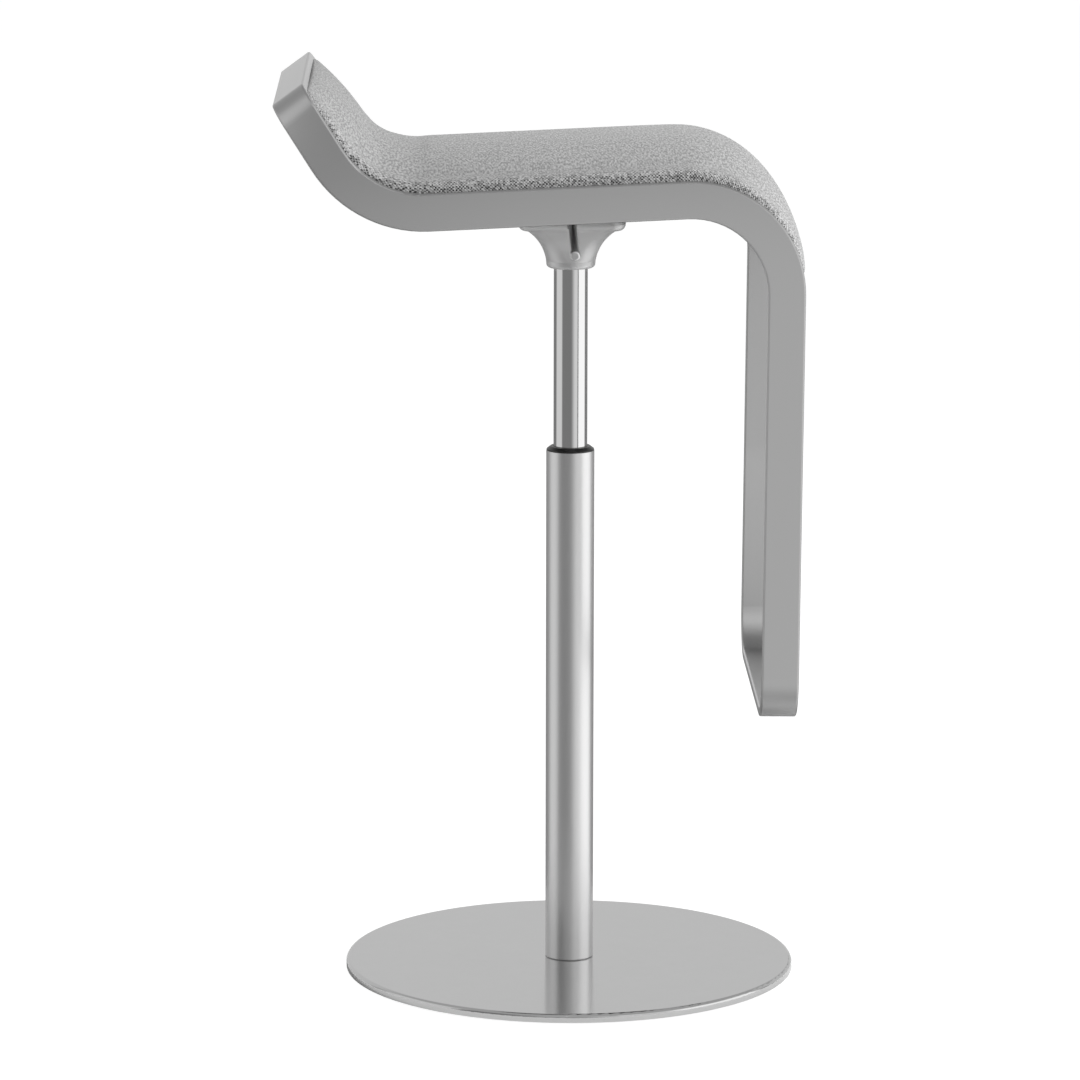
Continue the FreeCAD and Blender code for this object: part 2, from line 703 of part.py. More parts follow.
def cut_hub_inside(item):
    """The taper bore, the lever's cavity and notch, the pivot's hole and the bolt holes."""
    drawing = new_sketch(item, "seat_hub_taper")
    draw_outline(drawing, [("0", "0"), (taper_radius("0"), "0"),
                           (taper_radius("cavity_floor"), "cavity_floor"), ("0", "cavity_floor")])
    turn_about(item, drawing, "Groove", "seat_hub_bore")
    half = "cavity_width / 2"
    drawing = new_sketch(item, "seat_hub_cavity", "XY_Plane", "cavity_floor")
    draw_outline(drawing, [(f"-{half}", "-cavity_front"), (half, "-cavity_front"),
                           (half, "cavity_rear"), (f"-{half}", "cavity_rear")])
    pocket(item, drawing, "seat_hub_hollow", upward=True)
    half = "notch_width / 2"
    drawing = new_sketch(item, "seat_hub_notch", "XY_Plane", "notch_floor")
    draw_outline(drawing, [(f"-{half}", "-flange_width"), (half, "-flange_width"),
                           (half, "0"), (f"-{half}", "0")])
    pocket(item, drawing, "seat_hub_slot", upward=True)
    drawing = new_sketch(item, "seat_hub_pivot", "YZ_Plane")
    draw_circle(drawing, "pivot_diameter / 2 + snug_fit", "-pivot_back", "pivot_height")
    pocket(item, drawing, "seat_hub_pivot_hole", middle=True)
    doc.recompute()
    drawing = new_sketch(item, "seat_hub_bolts", "XY_Plane")
    tilt = FreeCAD.Rotation(FreeCAD.Vector(0, -1, 0), size("seat_slope"))
    drawing.AttachmentOffset = FreeCAD.Placement(FreeCAD.Vector(0, 0, size("hub_height")), tilt)
    over = "(plate_rise + stop_gap)"
    drawing.setExpression("AttachmentOffset.Base.x", bound(f"-{over} * sin(seat_slope)"))
    drawing.setExpression("AttachmentOffset.Base.z", bound(f"hub_height + {over} * cos(seat_slope)"))
    drawing.setExpression("AttachmentOffset.Rotation.Angle", bound("seat_slope"))
    for across in ("-", ""):
        for up in ("-", ""):
            draw_circle(drawing, "hub_bolt_diameter / 2 + snug_fit",
                        f"{across}hub_bolt_pitch / 2", f"{up}hub_bolt_pitch / 2")
    pocket(item, drawing, "seat_hub_bolt_holes", "hub_bolt_length - plate_thickness + 2 * stop_gap")


def make_hub_bolts():
    """Countersunk bolts, heads up, from the plate into the hub."""
    item = new_body("hub_bolts", SEAT_HEIGHT, True)
    top = SHELL_RISE
    shank = "hub_bolt_diameter / 2"
    head = "hub_bolt_head / 2"
    corners = [("0", f"{top} - hub_bolt_length"), (shank, f"{top} - hub_bolt_length"),
               (shank, f"{top} - {head} + {shank}"), (head, top), ("0", top)]
    turn = off_axis(item, "Revolution", "hub_bolt", "hub_bolt_pitch / sqrt(2)", corners, 45)
    ring_of(item, turn, "hub_bolts_ring", 4)


def make_lever_pivot():
    item = new_body("lever_pivot_pin", PIVOT_HEIGHT)
    drawing = new_sketch(item, "lever_pivot_outline", "YZ_Plane")
    draw_circle(drawing, "pivot_diameter / 2", "-pivot_back")
    pad(item, drawing, "lever_pivot_length", "flange_width - 2 * pivot_inset", True)


# Height lever, drawn along its rod and hung from the pivot at its droop

def place_lever(item):
    """Set a lever piece on the pivot, with the rod drooping to the front."""
    turn = FreeCAD.Rotation(FreeCAD.Vector(1, 0, 0), size("lever_droop"))
    spot = FreeCAD.Vector(0, -size("pivot_back"), size(PIVOT_HEIGHT))
    item.Placement = FreeCAD.Placement(spot, turn)
    item.setExpression("Placement.Base.y", bound("-pivot_back"))
    item.setExpression("Placement.Base.z", bound(PIVOT_HEIGHT))
    item.setExpression("Placement.Rotation.Angle", bound("lever_droop"))


def level_point(along, up):
    """A point that is level with the floor at rest, in the drooping lever's frame."""
    return (f"({along}) * cos(lever_droop) + ({up}) * sin(lever_droop)",
            f"({up}) * cos(lever_droop) - ({along}) * sin(lever_droop)")


ROD_END = "(tongue_front - lever_socket)"


def make_lever_tongue():
    """A block on the pivot with a tongue over the valve pin and a socket for the rod."""
    item = new_body("lever_tongue")
    place_lever(item)
    half = "tongue_block / 2"
    under_end = level_point("tongue_reach", "tongue_gap")
    over_end = level_point("tongue_reach", "tongue_gap + tongue_thickness")
    slope = "tan(lever_droop)"
    root = f"tongue_gap / cos(lever_droop) - tongue_rear * {slope}"
    drawing = new_sketch(item, "lever_tongue_side", "YZ_Plane")
    draw_outline(drawing, [("-tongue_front", f"-{half}"), ("tongue_rear", f"-{half}"),
                           ("tongue_rear", root), under_end, over_end, ("tongue_rear / 2", half),
                           ("-tongue_front", half)])
    pad(item, drawing, "lever_tongue_block", "tongue_width", True)
    drawing = new_sketch(item, "lever_tongue_eye", "YZ_Plane")
    draw_circle(drawing, "pivot_diameter / 2 + running_fit")
    pocket(item, drawing, "lever_tongue_bore", middle=True)
    drawing = new_sketch(item, "lever_tongue_socket", "XZ_Plane", "tongue_front")
    draw_circle(drawing, "lever_diameter / 2 + snug_fit")
    pocket(item, drawing, "lever_tongue_drill", "lever_socket")


def make_lever_rod():
    """A plain rod with a small round knob at its end."""
    item = new_body("lever_rod")
    place_lever(item)
    drawing = new_sketch(item, "lever_rod_section", "XZ_Plane", ROD_END)
    draw_circle(drawing, "lever_diameter / 2")
    pad(item, drawing, "lever_rod_length", f"lever_length - {ROD_END}")
    drawing = new_sketch(item, "lever_knob_section", "XZ_Plane", "lever_length - lever_knob_length")
    draw_circle(drawing, "lever_knob_diameter / 2")
    pad(item, drawing, "lever_knob", "lever_knob_length")

    tip = size("lever_length")
    soften(item, "lever_tip_rim", "lever_knob_round",
           lambda edge: isinstance(edge.Curve, Part.Circle) and abs(abs(edge.Curve.Center.y) - tip) < 1e-4)


# Hoop, shell and plate on the seat's slope

def back_run(rise, back_trim):
    """Straight length of the back at a height over the hoop's lower edge, up to its slanted end."""
    return f"(back_length - ({back_trim}) + ({rise}) * tan(end_slant))"


def draw_ribbon(drawing, low, high, back_trim, foot_trim=None):
    """The seat's side outline between two heights over the hoop's lower edge.

    It runs down the back, along the seat and round the front bend, then either down the
    leg, or as far round the bend as the shell wraps.
    """
    vector = FreeCAD.Vector
    back_angle = math.radians(270 - size("back_turn"))
    wrap = "front_turn" if foot_trim else "shell_wrap"
    front_angle = math.radians(90 - size(wrap))
    back_centre = vector(-size("back_reach"), size("back_bend_radius"), 0)
    front_centre = vector(size("front_reach"), -size("front_bend_radius"), 0)
    leg_run = size(f"leg_length - ({foot_trim})") if foot_trim else 0
    normal = vector(0, 0, 1)
    edges = []
    for rise in (low, high):
        tight = Part.Circle(back_centre, normal, size(f"back_bend_radius - ({rise})"))
        wide = Part.Circle(front_centre, normal, size(f"front_bend_radius + ({rise})"))
        back_bend = Part.ArcOfCircle(tight, back_angle, math.radians(270))
        front_bend = Part.ArcOfCircle(wide, front_angle, math.radians(90))
        up_the_back = vector(math.sin(back_angle), -math.cos(back_angle), 0)
        back_end = back_bend.StartPoint + size(back_run(rise, back_trim)) * up_the_back
        parts = [Part.LineSegment(back_bend.StartPoint, back_end), back_bend,
                 Part.LineSegment(back_bend.EndPoint, front_bend.EndPoint), front_bend]
        if foot_trim:
            down = vector(math.sin(front_angle), -math.cos(front_angle), 0)
            foot = front_bend.StartPoint + leg_run * down
            parts.append(Part.LineSegment(foot, front_bend.StartPoint))
        edges.append([drawing.addGeometry(part) for part in parts])
    close_ribbon(drawing, edges, bool(foot_trim))
    size_ribbon(drawing, edges, low, high, back_trim, foot_trim)


def close_ribbon(drawing, edges, has_leg):
    """Join a ribbon's two long edges smoothly and close its ends."""
    for chain in edges:
        drawing.addConstraint(Sketcher.Constraint("Tangent", chain[0], 1, chain[1], 1))
        drawing.addConstraint(Sketcher.Constraint("Tangent", chain[1], 2, chain[2], 1))
        drawing.addConstraint(Sketcher.Constraint("Tangent", chain[2], 2, chain[3], 2))
        if has_leg:
            drawing.addConstraint(Sketcher.Constraint("Tangent", chain[3], 1, chain[4], 2))
    lower, upper = edges
    drawing.addConstraint(Sketcher.Constraint("Coincident", lower[1], 3, upper[1], 3))
    drawing.addConstraint(Sketcher.Constraint("Coincident", lower[3], 3, upper[3], 3))
    drawing.addConstraint(Sketcher.Constraint("Parallel", lower[0], upper[0]))
    for number, point in ((0, 2), (len(lower) - 1, 1)):
        ends = [drawing.getPoint(chain[number], point) for chain in edges]
        cap = drawing.addGeometry(Part.LineSegment(*ends))
        drawing.addConstraint(Sketcher.Constraint("Coincident", cap, 1, lower[number], point))
        drawing.addConstraint(Sketcher.Constraint("Coincident", cap, 2, upper[number], point))
        if number and has_leg:
            drawing.addConstraint(Sketcher.Constraint("Perpendicular", cap, lower[number]))
        elif number:
            drawing.addConstraint(Sketcher.Constraint("PointOnObject", lower[3], 3, cap))
            angle = math.radians(90 - size("shell_wrap"))
            add_size(drawing, Sketcher.Constraint("Angle", cap, angle), "90 - shell_wrap")
    if has_leg:
        drawing.addConstraint(Sketcher.Constraint("Parallel", lower[4], upper[4]))


def size_ribbon(drawing, edges, low, high, back_trim, foot_trim):
    """Bind a ribbon's heights, bends, turns and lengths."""
    lower, upper = edges
    for chain, rise in ((lower, low), (upper, high)):
        drawing.addConstraint(Sketcher.Constraint("Horizontal", chain[2]))
        pin(drawing, chain[2], 1, up=rise)
        run = back_run(rise, back_trim)
        add_size(drawing, Sketcher.Constraint("Distance", chain[0], size(run)), run)
    pin(drawing, lower[2], 1, across="-back_reach")
    pin(drawing, lower[2], 2, across="front_reach")
    for bend, text in ((lower[1], f"back_bend_radius - ({low})"), (lower[3], f"front_bend_radius + ({low})")):
        add_size(drawing, Sketcher.Constraint("Radius", bend, size(text)), text)
    lean = math.radians(180 - size("back_turn"))
    add_size(drawing, Sketcher.Constraint("Angle", lower[0], lean), "180 - back_turn")
    if foot_trim:
        lean = math.radians(180 - size("front_turn"))
        add_size(drawing, Sketcher.Constraint("Angle", lower[4], lean), "180 - front_turn")
        run = f"leg_length - ({foot_trim})"
        add_size(drawing, Sketcher.Constraint("Distance", lower[4], size(run)), run)


def is_sharp(shape, edge):
    """Whether the two faces at an edge meet at an angle."""
    faces = shape.ancestorsOfType(edge, Part.Face)
    if len(faces) != 2:
        return False
    middle = edge.valueAt((edge.FirstParameter + edge.LastParameter) / 2)
    normals = [face.normalAt(*face.Surface.parameter(middle)) for face in faces]
    return normals[0].getAngle(normals[1]) > math.radians(30)


def corner_test(length, at_back, half):
    """A test for a ribbon's straight corner edges at one end and one half width."""
    def test(edge):
        box = edge.BoundBox
        middle = abs((box.YMin + box.YMax) / 2)
        upright = isinstance(edge.Curve, Part.Line) and abs(edge.Length - size(length)) < 1e-3
        return upright and abs(middle - size(half)) < 1e-3 and (box.XMax < 0) == at_back
    return test


def make_hoop_frame():
    """One flat bar bent into the seat's sides, the low back and the foot loop."""
    item = new_body("hoop_frame", SEAT_HEIGHT, True)
    drawing = new_sketch(item, "hoop_outline")
    draw_ribbon(drawing, "0", "bar_width", "0", "0")
    pad(item, drawing, "hoop_blank", "hoop_width", True)
    drawing = new_sketch(item, "hoop_inside")
    draw_ribbon(drawing, "-bar_edge_radius", "bar_width + bar_edge_radius", END_TRIM, "bar_thickness")
    pocket(item, drawing, "hoop_window", f"2 * {INNER_HALF}", True)
    outer = "hoop_width / 2"
    for name, at_back, width in (("back", True, END_WIDTH), ("foot", False, "bar_width")):
        radius = f"{name}_corner_radius"
        soften(item, f"hoop_{name}_corners", radius, corner_test(width, at_back, outer))
        soften(item, f"hoop_{name}_inner_corners", f"{radius} - bar_thickness",
               corner_test(width, at_back, INNER_HALF))
    shape = item.Tip.Shape
    soften(item, "hoop_edges", "bar_edge_radius",
           lambda edge: is_sharp(shape, edge) and edge.Length > size(END_WIDTH) + 1e-3)


def make_cross_plate():
    """The steel plate welded across the hoop, drilled for the hub and the shell."""
    item = new_body("cross_plate", SEAT_HEIGHT, True)
    half_x = "plate_length / 2"
    drawing = new_sketch(item, "cross_plate_outline", "XY_Plane", "plate_rise")
    draw_outline(drawing, [(f"-{half_x}", f"-{INNER_HALF}"), (half_x, f"-{INNER_HALF}"),
                           (half_x, INNER_HALF), (f"-{half_x}", INNER_HALF)])
    pad(item, drawing, "cross_plate_sheet", "plate_thickness")
    shank = "(hub_bolt_diameter / 2 + running_fit)"
    head = "(hub_bolt_head / 2 + running_fit)"
    top = SHELL_RISE
    corners = [("0", "plate_rise"), (shank, "plate_rise"), (shank, f"{top} - {head} + {shank}"),
               (head, top), ("0", top)]
    cut = off_axis(item, "Groove", "cross_plate_sink", "hub_bolt_pitch / sqrt(2)", corners, 45)
    ring_of(item, cut, "cross_plate_sinks", 4)
    drawing = new_sketch(item, "cross_plate_holes", "XY_Plane")
    draw_shell_screws(drawing, "shell_screw_diameter / 2 + running_fit")
    pocket(item, drawing, "cross_plate_drill", upward=True)


SHELL_SCREWS = [(f"{across}shell_screw_pitch_x / 2", f"{up}shell_screw_pitch_y / 2")
                for across in ("-", "") for up in ("-", "")]


def draw_shell_screws(drawing, radius):
    """Circles at the shell's four screws."""
    for across, up in SHELL_SCREWS:
        draw_circle(drawing, radius, across, up)


def draw_sockets(drawing):
    """Hexagons for the key at the shell's four screws."""
    corner = "shell_screw_socket / sqrt(3)"
    for across, up in SHELL_SCREWS:
        draw_outline(drawing, [(f"{across} + {corner} * cos({turn})", f"{up} + {corner} * sin({turn})")
                               for turn in range(0, 360, 60)])


def make_shell_screws():
    item = new_body("shell_screws", SEAT_HEIGHT, True)
    drawing = new_sketch(item, "shell_screw_heads", "XY_Plane", "plate_rise - shell_screw_head_height")
    draw_shell_screws(drawing, "shell_screw_head / 2")
    pad(item, drawing, "shell_screw_head_pad", "shell_screw_head_height")
    doc.recompute()
    drawing = new_sketch(item, "shell_screw_shanks", "XY_Plane", "plate_rise")
    draw_shell_screws(drawing, "shell_screw_diameter / 2")
    pad(item, drawing, "shell_screw_shank_pad", "shell_screw_length")
    low = "plate_rise - shell_screw_head_height"
    drawing = new_sketch(item, "shell_screw_sockets", "XY_Plane", low)
    draw_sockets(drawing)
    pocket(item, drawing, "shell_screw_keys", "shell_screw_socket_depth", upward=True)
    soften(item, "shell_screw_round", "shell_screw_head_height / 3", is_rim("shell_screw_head / 2", low))


def make_seat_shell():
    """The bent board that carries the foam inside the hoop."""
    item = new_body("seat_shell", SEAT_HEIGHT, True)
    drawing = new_sketch(item, "seat_shell_outline")
    draw_ribbon(drawing, SHELL_RISE, f"{SHELL_RISE} + shell_thickness", f"{END_TRIM} + shell_gap")
    pad(item, drawing, "seat_shell_board", f"2 * {SHELL_HALF}", True)
    doc.recompute()
    drawing = new_sketch(item, "seat_shell_holes", "XY_Plane", SHELL_RISE)
    draw_shell_screws(drawing, "shell_screw_diameter / 2 + snug_fit")
    depth = "shell_screw_length - plate_thickness + snug_fit"
    pocket(item, drawing, "seat_shell_drill", depth, upward=True)
    for end, at_back, width in (("back", True, "shell_thickness / cos(end_slant)"),
                                ("front", False, "shell_thickness")):
        soften(item, f"seat_shell_{end}_corners", "shell_corner_radius",
               corner_test(width, at_back, SHELL_HALF))


# Upholstery, lofted through sections along the seat's line

def seat_line(run):
    """A point of the hoop's lower edge and the way up from it, at a run from the back end."""
    reach = size("back_reach")
    turn = math.radians(size("back_turn"))
    bend = size("back_bend_radius")
    curl = size("front_bend_radius")
    flat = reach + size("front_reach")
    run -= size("back_length")
    if run < bend * turn:
        angle = turn - max(run, 0) / bend
        past = min(run, 0)
        spot = FreeCAD.Vector(-reach - bend * math.sin(angle) + past * math.cos(angle), 0,
                              bend - bend * math.cos(angle) - past * math.sin(angle))
        return spot, FreeCAD.Vector(math.sin(angle), 0, math.cos(angle))
    run -= bend * turn
    if run < flat:
        return FreeCAD.Vector(run - reach, 0, 0), FreeCAD.Vector(0, 0, 1)
    angle = (run - flat) / curl
    up = FreeCAD.Vector(math.sin(angle), 0, math.cos(angle))
    return FreeCAD.Vector(size("front_reach"), 0, -curl) + curl * up, up


def ease(share):
    """A smooth step from 0 to 1."""
    share = min(max(share, 0.0), 1.0)
    return share * share * (3 - 2 * share)


def pad_run():
    """Where the upholstery starts, the flat seat starts and ends, and the upholstery ends."""
    start = size(f"{END_TRIM} + pad_end_gap")
    flat_start = size("back_length") + size("back_bend_radius") * math.radians(size("back_turn"))
    flat_end = flat_start + size("back_reach + front_reach")
    end = flat_end + size("front_bend_radius") * math.radians(size("shell_wrap"))
    return start, flat_start, flat_end, end


def pad_swell(run):
    """Share of the pad's full size at a run: less at its two round ends."""
    start, _, _, end = pad_run()
    depth = min((run - start) / size("back_round"), (end - run) / size("front_round"))
    depth = min(max(depth, 0.0), 1.0)
    return math.sqrt(1 - (1 - depth) ** 2)


def crown_at(run):
    """Height of the pad's middle over the hoop's upper edge at a run."""
    start, flat_start, flat_end, end = pad_run()
    rise = min((run - start) / (flat_start - start), 1.0)
    fall = ease((run - flat_end) / (end - flat_end))
    full = size("back_crown") + rise * size("seat_crown - back_crown")
    full += fall * size("front_crown - seat_crown")
    return size("end_crown") + (full - size("end_crown")) * pad_swell(run)


def section_up(run, up):
    """The way up in a section, which slants with the hoop's end at the pad's back."""
    start = pad_run()[0]
    share = max(1 - (run - start) / size("back_round"), 0.0)
    ahead = FreeCAD.Vector(up.z, 0, -up.x)
    return up - share * math.tan(math.radians(size("end_slant"))) * ahead


def corner_depth(run, radius):
    """How far a round corner's side stands back at a run from its end."""
    return radius - math.sqrt(radius ** 2 - max(radius - run, 0.0) ** 2)


def pad_half(run, inset):
    """Half the pad's width, less at its four round corners."""
    start, _, _, end = pad_run()
    back = corner_depth(run - start - inset, size("back_corner_radius - bar_thickness") - inset)
    front = corner_depth(end - inset - run, size("pad_front_corner") - inset)
    return size(SHELL_HALF) - inset - back - front


def pad_section(run, inset, floor):
    """One closed section of the pad, inset from its outside: an arch with round shoulders."""
    spot, up = seat_line(run)
    up = section_up(run, up)
    half = pad_half(run, inset)
    crown = size("bar_width") + crown_at(run) - inset
    rise = crown_at(run) * (1 - size("side_share"))
    arch = (half ** 2 + rise ** 2) / (2 * rise)
    bend = size("side_round") - inset
    centre = crown - arch
    lift = math.sqrt((arch - bend) ** 2 - (half - bend) ** 2)
    turn = math.atan2(lift, half - bend)
    across = FreeCAD.Vector(0, 1, 0)

    def at(width, height):
        return spot + width * across + height * up

    def on_bend(sign, angle):
        return at(sign * (half - bend + bend * math.cos(angle)), centre + lift + bend * math.sin(angle))

    def shoulder(sign):
        return Part.Arc(*(on_bend(sign, turn * share) for share in (0, 0.5, 1))).toShape()
    return Part.Wire([
        Part.LineSegment(at(-half, floor), at(half, floor)).toShape(),
        Part.LineSegment(at(half, floor), on_bend(1, 0)).toShape(),
        shoulder(1),
        Part.Arc(on_bend(1, turn), at(0, crown), on_bend(-1, turn)).toShape(),
        shoulder(-1),
        Part.LineSegment(on_bend(-1, 0), at(-half, floor)).toShape(),
    ])


# Steps between the pad's sections: its back end, the bend, the flat, the front bend and its front end.
BACK_STEPS = 9
BEND_STEPS = 10
FLAT_STEPS = 10
WRAP_STEPS = 8
FRONT_STEPS = 5


def quarter_steps(count):
    """Shares of a quarter round, close together at its start."""
    return [1 - math.cos(math.pi / 2 * step / count) for step in range(count)]


def pad_stations(inset):
    """Runs along the seat's line where the pad's sections stand."""
    start, flat_start, flat_end, end = pad_run()
    back, front = size("back_round") - inset, size("front_round") - inset
    stops = [start + inset + back, flat_start, flat_end, end - inset - front]
    stations = [start + inset + back * share for share in quarter_steps(BACK_STEPS)]
    for first, last, steps in zip(stops, stops[1:], (BEND_STEPS, FLAT_STEPS, WRAP_STEPS)):
        stations += [first + (last - first) * step / steps for step in range(steps)]
    stations.append(stops[-1])
    return stations + [end - inset - front * share for share in reversed(quarter_steps(FRONT_STEPS))]


def pad_solid(inset, floor):
    """The pad's body, inset from its outside, standing on a floor over the lower edge."""
    loft = Part.makeLoft([pad_section(run, inset, floor) for run in pad_stations(inset)], True, False)
    return outward(loft)


def outward(solid):
    """A solid whose faces look out."""
    body = Part.Solid(solid.Shells[0])
    if body.Volume < 0:
        body.reverse()
    return body


def new_form(name, shape):
    """A soft piece, set on the seat's slope."""
    item = doc.addObject("Part::Feature", name)
    item.Label = name
    item.Shape = shape
    place(item, SEAT_HEIGHT, True)
    PIECES.append(item)


def make_upholstery():
    rest = size(PAD_RISE)
    cloth = size("cloth_thickness")
    new_form("seat_foam", pad_solid(cloth + size("foam_gap"), rest))
    outside = pad_solid(0, rest)
    inside = pad_solid(cloth, rest - cloth)
    new_form("seat_cover", outward(outside.cut(inside)))


def export():
    """Check every object and write each piece."""
    doc.recompute()
    for item in doc.Objects:
        if "Invalid" in item.State or "Error" in item.State:
            raise RuntimeError(f"{item.Name} failed: {item.State}")
    os.makedirs("parts", exist_ok=True)
    for item in PIECES:
        if item.Shape.isNull() or not item.Shape.isValid() or not item.Shape.Solids:
            raise RuntimeError(f"{item.Label} has no sound solid")
        item.Shape.exportStep(f"parts/{item.Label}.step")
        print(f"{item.Label}: {len(item.Shape.Solids)} solids, {item.Shape.Volume:.0f} mm3")


make_floor_pad()
make_base_plate()
make_base_cover()
make_base_screws()
make_column_tube()
make_foot_plug()
make_guide_bush()
make_bearing()
make_piston_rod()
make_rod_washer()
make_rod_clip()
make_bump_stop()
make_piston()
make_gas_cylinder()
make_rod_guide()
make_valve_body()
make_valve_pin()
make_seat_hub()
make_hub_bolts()
make_lever_pivot()
make_lever_tongue()
make_lever_rod()
make_hoop_frame()
make_cross_plate()
make_shell_screws()
make_seat_shell()
make_upholstery()
export()
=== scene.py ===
import functools
import math

import bmesh
import bpy
from bpy.props import FloatProperty, FloatVectorProperty, PointerProperty
from mathutils import Matrix, Vector


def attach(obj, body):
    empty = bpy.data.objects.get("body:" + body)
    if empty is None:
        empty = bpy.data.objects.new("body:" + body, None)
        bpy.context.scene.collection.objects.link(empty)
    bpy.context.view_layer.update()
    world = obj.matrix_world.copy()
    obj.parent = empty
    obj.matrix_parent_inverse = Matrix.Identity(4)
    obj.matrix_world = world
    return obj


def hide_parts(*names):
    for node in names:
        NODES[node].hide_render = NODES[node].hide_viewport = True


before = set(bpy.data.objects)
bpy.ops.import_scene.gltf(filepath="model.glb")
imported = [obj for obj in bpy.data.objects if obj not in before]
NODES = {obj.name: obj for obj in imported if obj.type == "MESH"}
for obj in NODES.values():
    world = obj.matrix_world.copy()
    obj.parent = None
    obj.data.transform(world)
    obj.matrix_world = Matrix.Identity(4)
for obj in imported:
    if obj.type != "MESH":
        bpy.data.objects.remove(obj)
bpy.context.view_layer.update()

bl_info = {
    "name": "Bar stool on a gas lift",
    "version": (1, 0, 0),
    "blender": (4, 5, 0),
    "location": "3D View > Sidebar > Stool",
    "description": "Finishes, upholstery and a studio for a bar stool with a bent flat-bar hoop",
    "category": "Object",
}

# A millimetre in metres, and the camera's sensor width
MM = 0.001
SENSOR_WIDTH = 36.0


# Settings that a user would change

def metres(name, text, default):
    return FloatProperty(name=name, description=text, default=default, precision=4, unit="LENGTH")


def turn(name, text, degrees):
    return FloatProperty(name=name, description=text, default=math.radians(degrees), subtype="ANGLE")


def share(name, text, default):
    return FloatProperty(name=name, description=text, default=default, min=0.0, max=1.0, subtype="FACTOR")


def level(name, text, default):
    return FloatProperty(name=name, description=text, default=default, min=0.0)


def tint(name, text, default):
    return FloatVectorProperty(name=name, description=text, default=default, size=3, min=0.0, max=1.0,
                               subtype="COLOR")


class StoolPad(bpy.types.PropertyGroup):
    """The seat's side line, the pad on it and its cloth."""
    seat_height: metres("Seat height", "Height of the hoop's lower edge on the column's axis", 0.6469)
    seat_slope: turn("Seat slope", "Rise of the seat towards the front", 2.69)
    back_reach: metres("Back reach", "From the column's axis to the back bend", 0.1163)
    back_bend: metres("Back bend", "Radius of the hoop's lower edge in the back bend", 0.105)
    back_turn: turn("Back turn", "How far the back bend turns up", 60.5)
    back_length: metres("Back length", "Straight length of the low back", 0.0588)
    end_slant: turn("End slant", "Slant of the hoop's back end", 4)
    front_reach: metres("Front reach", "From the column's axis to the front bend", 0.0897)
    front_bend: metres("Front bend", "Radius of the hoop's lower edge in the front bend", 0.0615)
    front_wrap: turn("Front wrap", "How far the pad wraps round the front bend", 83)
    bar_width: metres("Bar width", "Width of the hoop's flat bar", 0.03)
    pad_half: metres("Pad half width", "From the middle to the pad's side", 0.1412)
    pad_floor: metres("Pad floor", "Where the pad lies on its board, over the lower edge", 0.0153)
    pad_start: metres("Pad start", "From the hoop's back end to the pad", 0.0072)
    side_share: share("Side share", "Height of the pad's side over the bar, as a share of its crown", 0.32)
    side_round: metres("Side round", "Radius between the pad's side and its top", 0.006)
    back_crown: metres("Back crown", "Height of the pad's middle over the bar on the back", 0.0132)
    seat_crown: metres("Seat crown", "Height of the pad's middle over the bar on the seat", 0.0246)
    front_crown: metres("Front crown", "Height of the pad's middle over the bar at the front", 0.0069)
    end_crown: metres("End crown", "Height of the pad's two ends over the bar", 0.0004)
    back_round: metres("Back round", "Length over which the pad rises from its back end", 0.045)
    front_round: metres("Front round", "Length over which the pad's front end rounds off", 0.008)
    back_corner: metres("Back corner", "Radius of the pad's corners at the back", 0.012)
    front_corner: metres("Front corner", "Radius of the pad's corners at the front", 0.004)
    mesh_step: metres("Mesh step", "Spacing of the pad's mesh", 0.0042)
    swell_cap: metres("Swell cap", "Furthest that the cloth may swell", 0.0014)
    pressure: level("Pressure", "Pressure of the foam under the cloth", 1.2)
    weave_pitch: metres("Weave pitch", "Spacing of the cloth's yarns", 0.0019)


class StoolFinish(bpy.types.PropertyGroup):
    """Colours of the stool's finishes."""
    hoop: tint("Hoop", "Satin nickel of the bent bar", (0.42, 0.42, 0.42))
    base: tint("Base", "Brushed steel of the base", (0.6, 0.6, 0.6))
    column: tint("Column", "Satin steel of the column", (0.71, 0.71, 0.71))
    chrome: tint("Chrome", "Polished chrome of the gas spring", (0.68, 0.68, 0.68))
    hub: tint("Hub", "Silver lacquer of the cast hub", (0.69, 0.69, 0.69))
    yarn_light: tint("Light yarn", "Lighter yarn of the cloth", (0.425, 0.425, 0.425))
    yarn_dark: tint("Dark yarn", "Darker yarn of the cloth", (0.205, 0.205, 0.205))
    bush: tint("Bush", "Moulded black of the column's bush", (0.012, 0.012, 0.012))
    board: tint("Board", "Black stain of the seat board", (0.045, 0.042, 0.04))


class StoolStage(bpy.types.PropertyGroup):
    """The studio and the camera."""
    distance: metres("Distance", "From the column's axis to the camera, along the floor", 4.4795)
    height: metres("Height", "Camera height", 1.20618)
    bearing: turn("Bearing", "Camera's place round the column", -1.5)
    heading: turn("Heading", "Way that the camera looks, from the depth axis", 1.18)
    pitch: turn("Pitch", "How far the camera looks down", 10.65)
    roll: turn("Roll", "Camera's roll", 0.09)
    lens: FloatProperty(name="Lens", description="Focal length on a sensor 36 mm wide", default=182.76,
                        unit="CAMERA")
    room: level("Room light", "Even light of the room on matt surfaces", 0.27)
    key: level("Key light", "Power of the large lamp at the right, in watts", 96.0)
    fill: level("Fill light", "Power of the large lamp at the left, in watts", 8.0)
    back: level("Back light", "Power of the large lamp behind the stool, in watts", 16.0)
    hoop_cards: level("Hoop cards", "Brightness of the cards that only the hoop mirrors", 1.0)
    floor: tint("Floor", "Pale floor", (0.85, 0.85, 0.85))


# Node trees

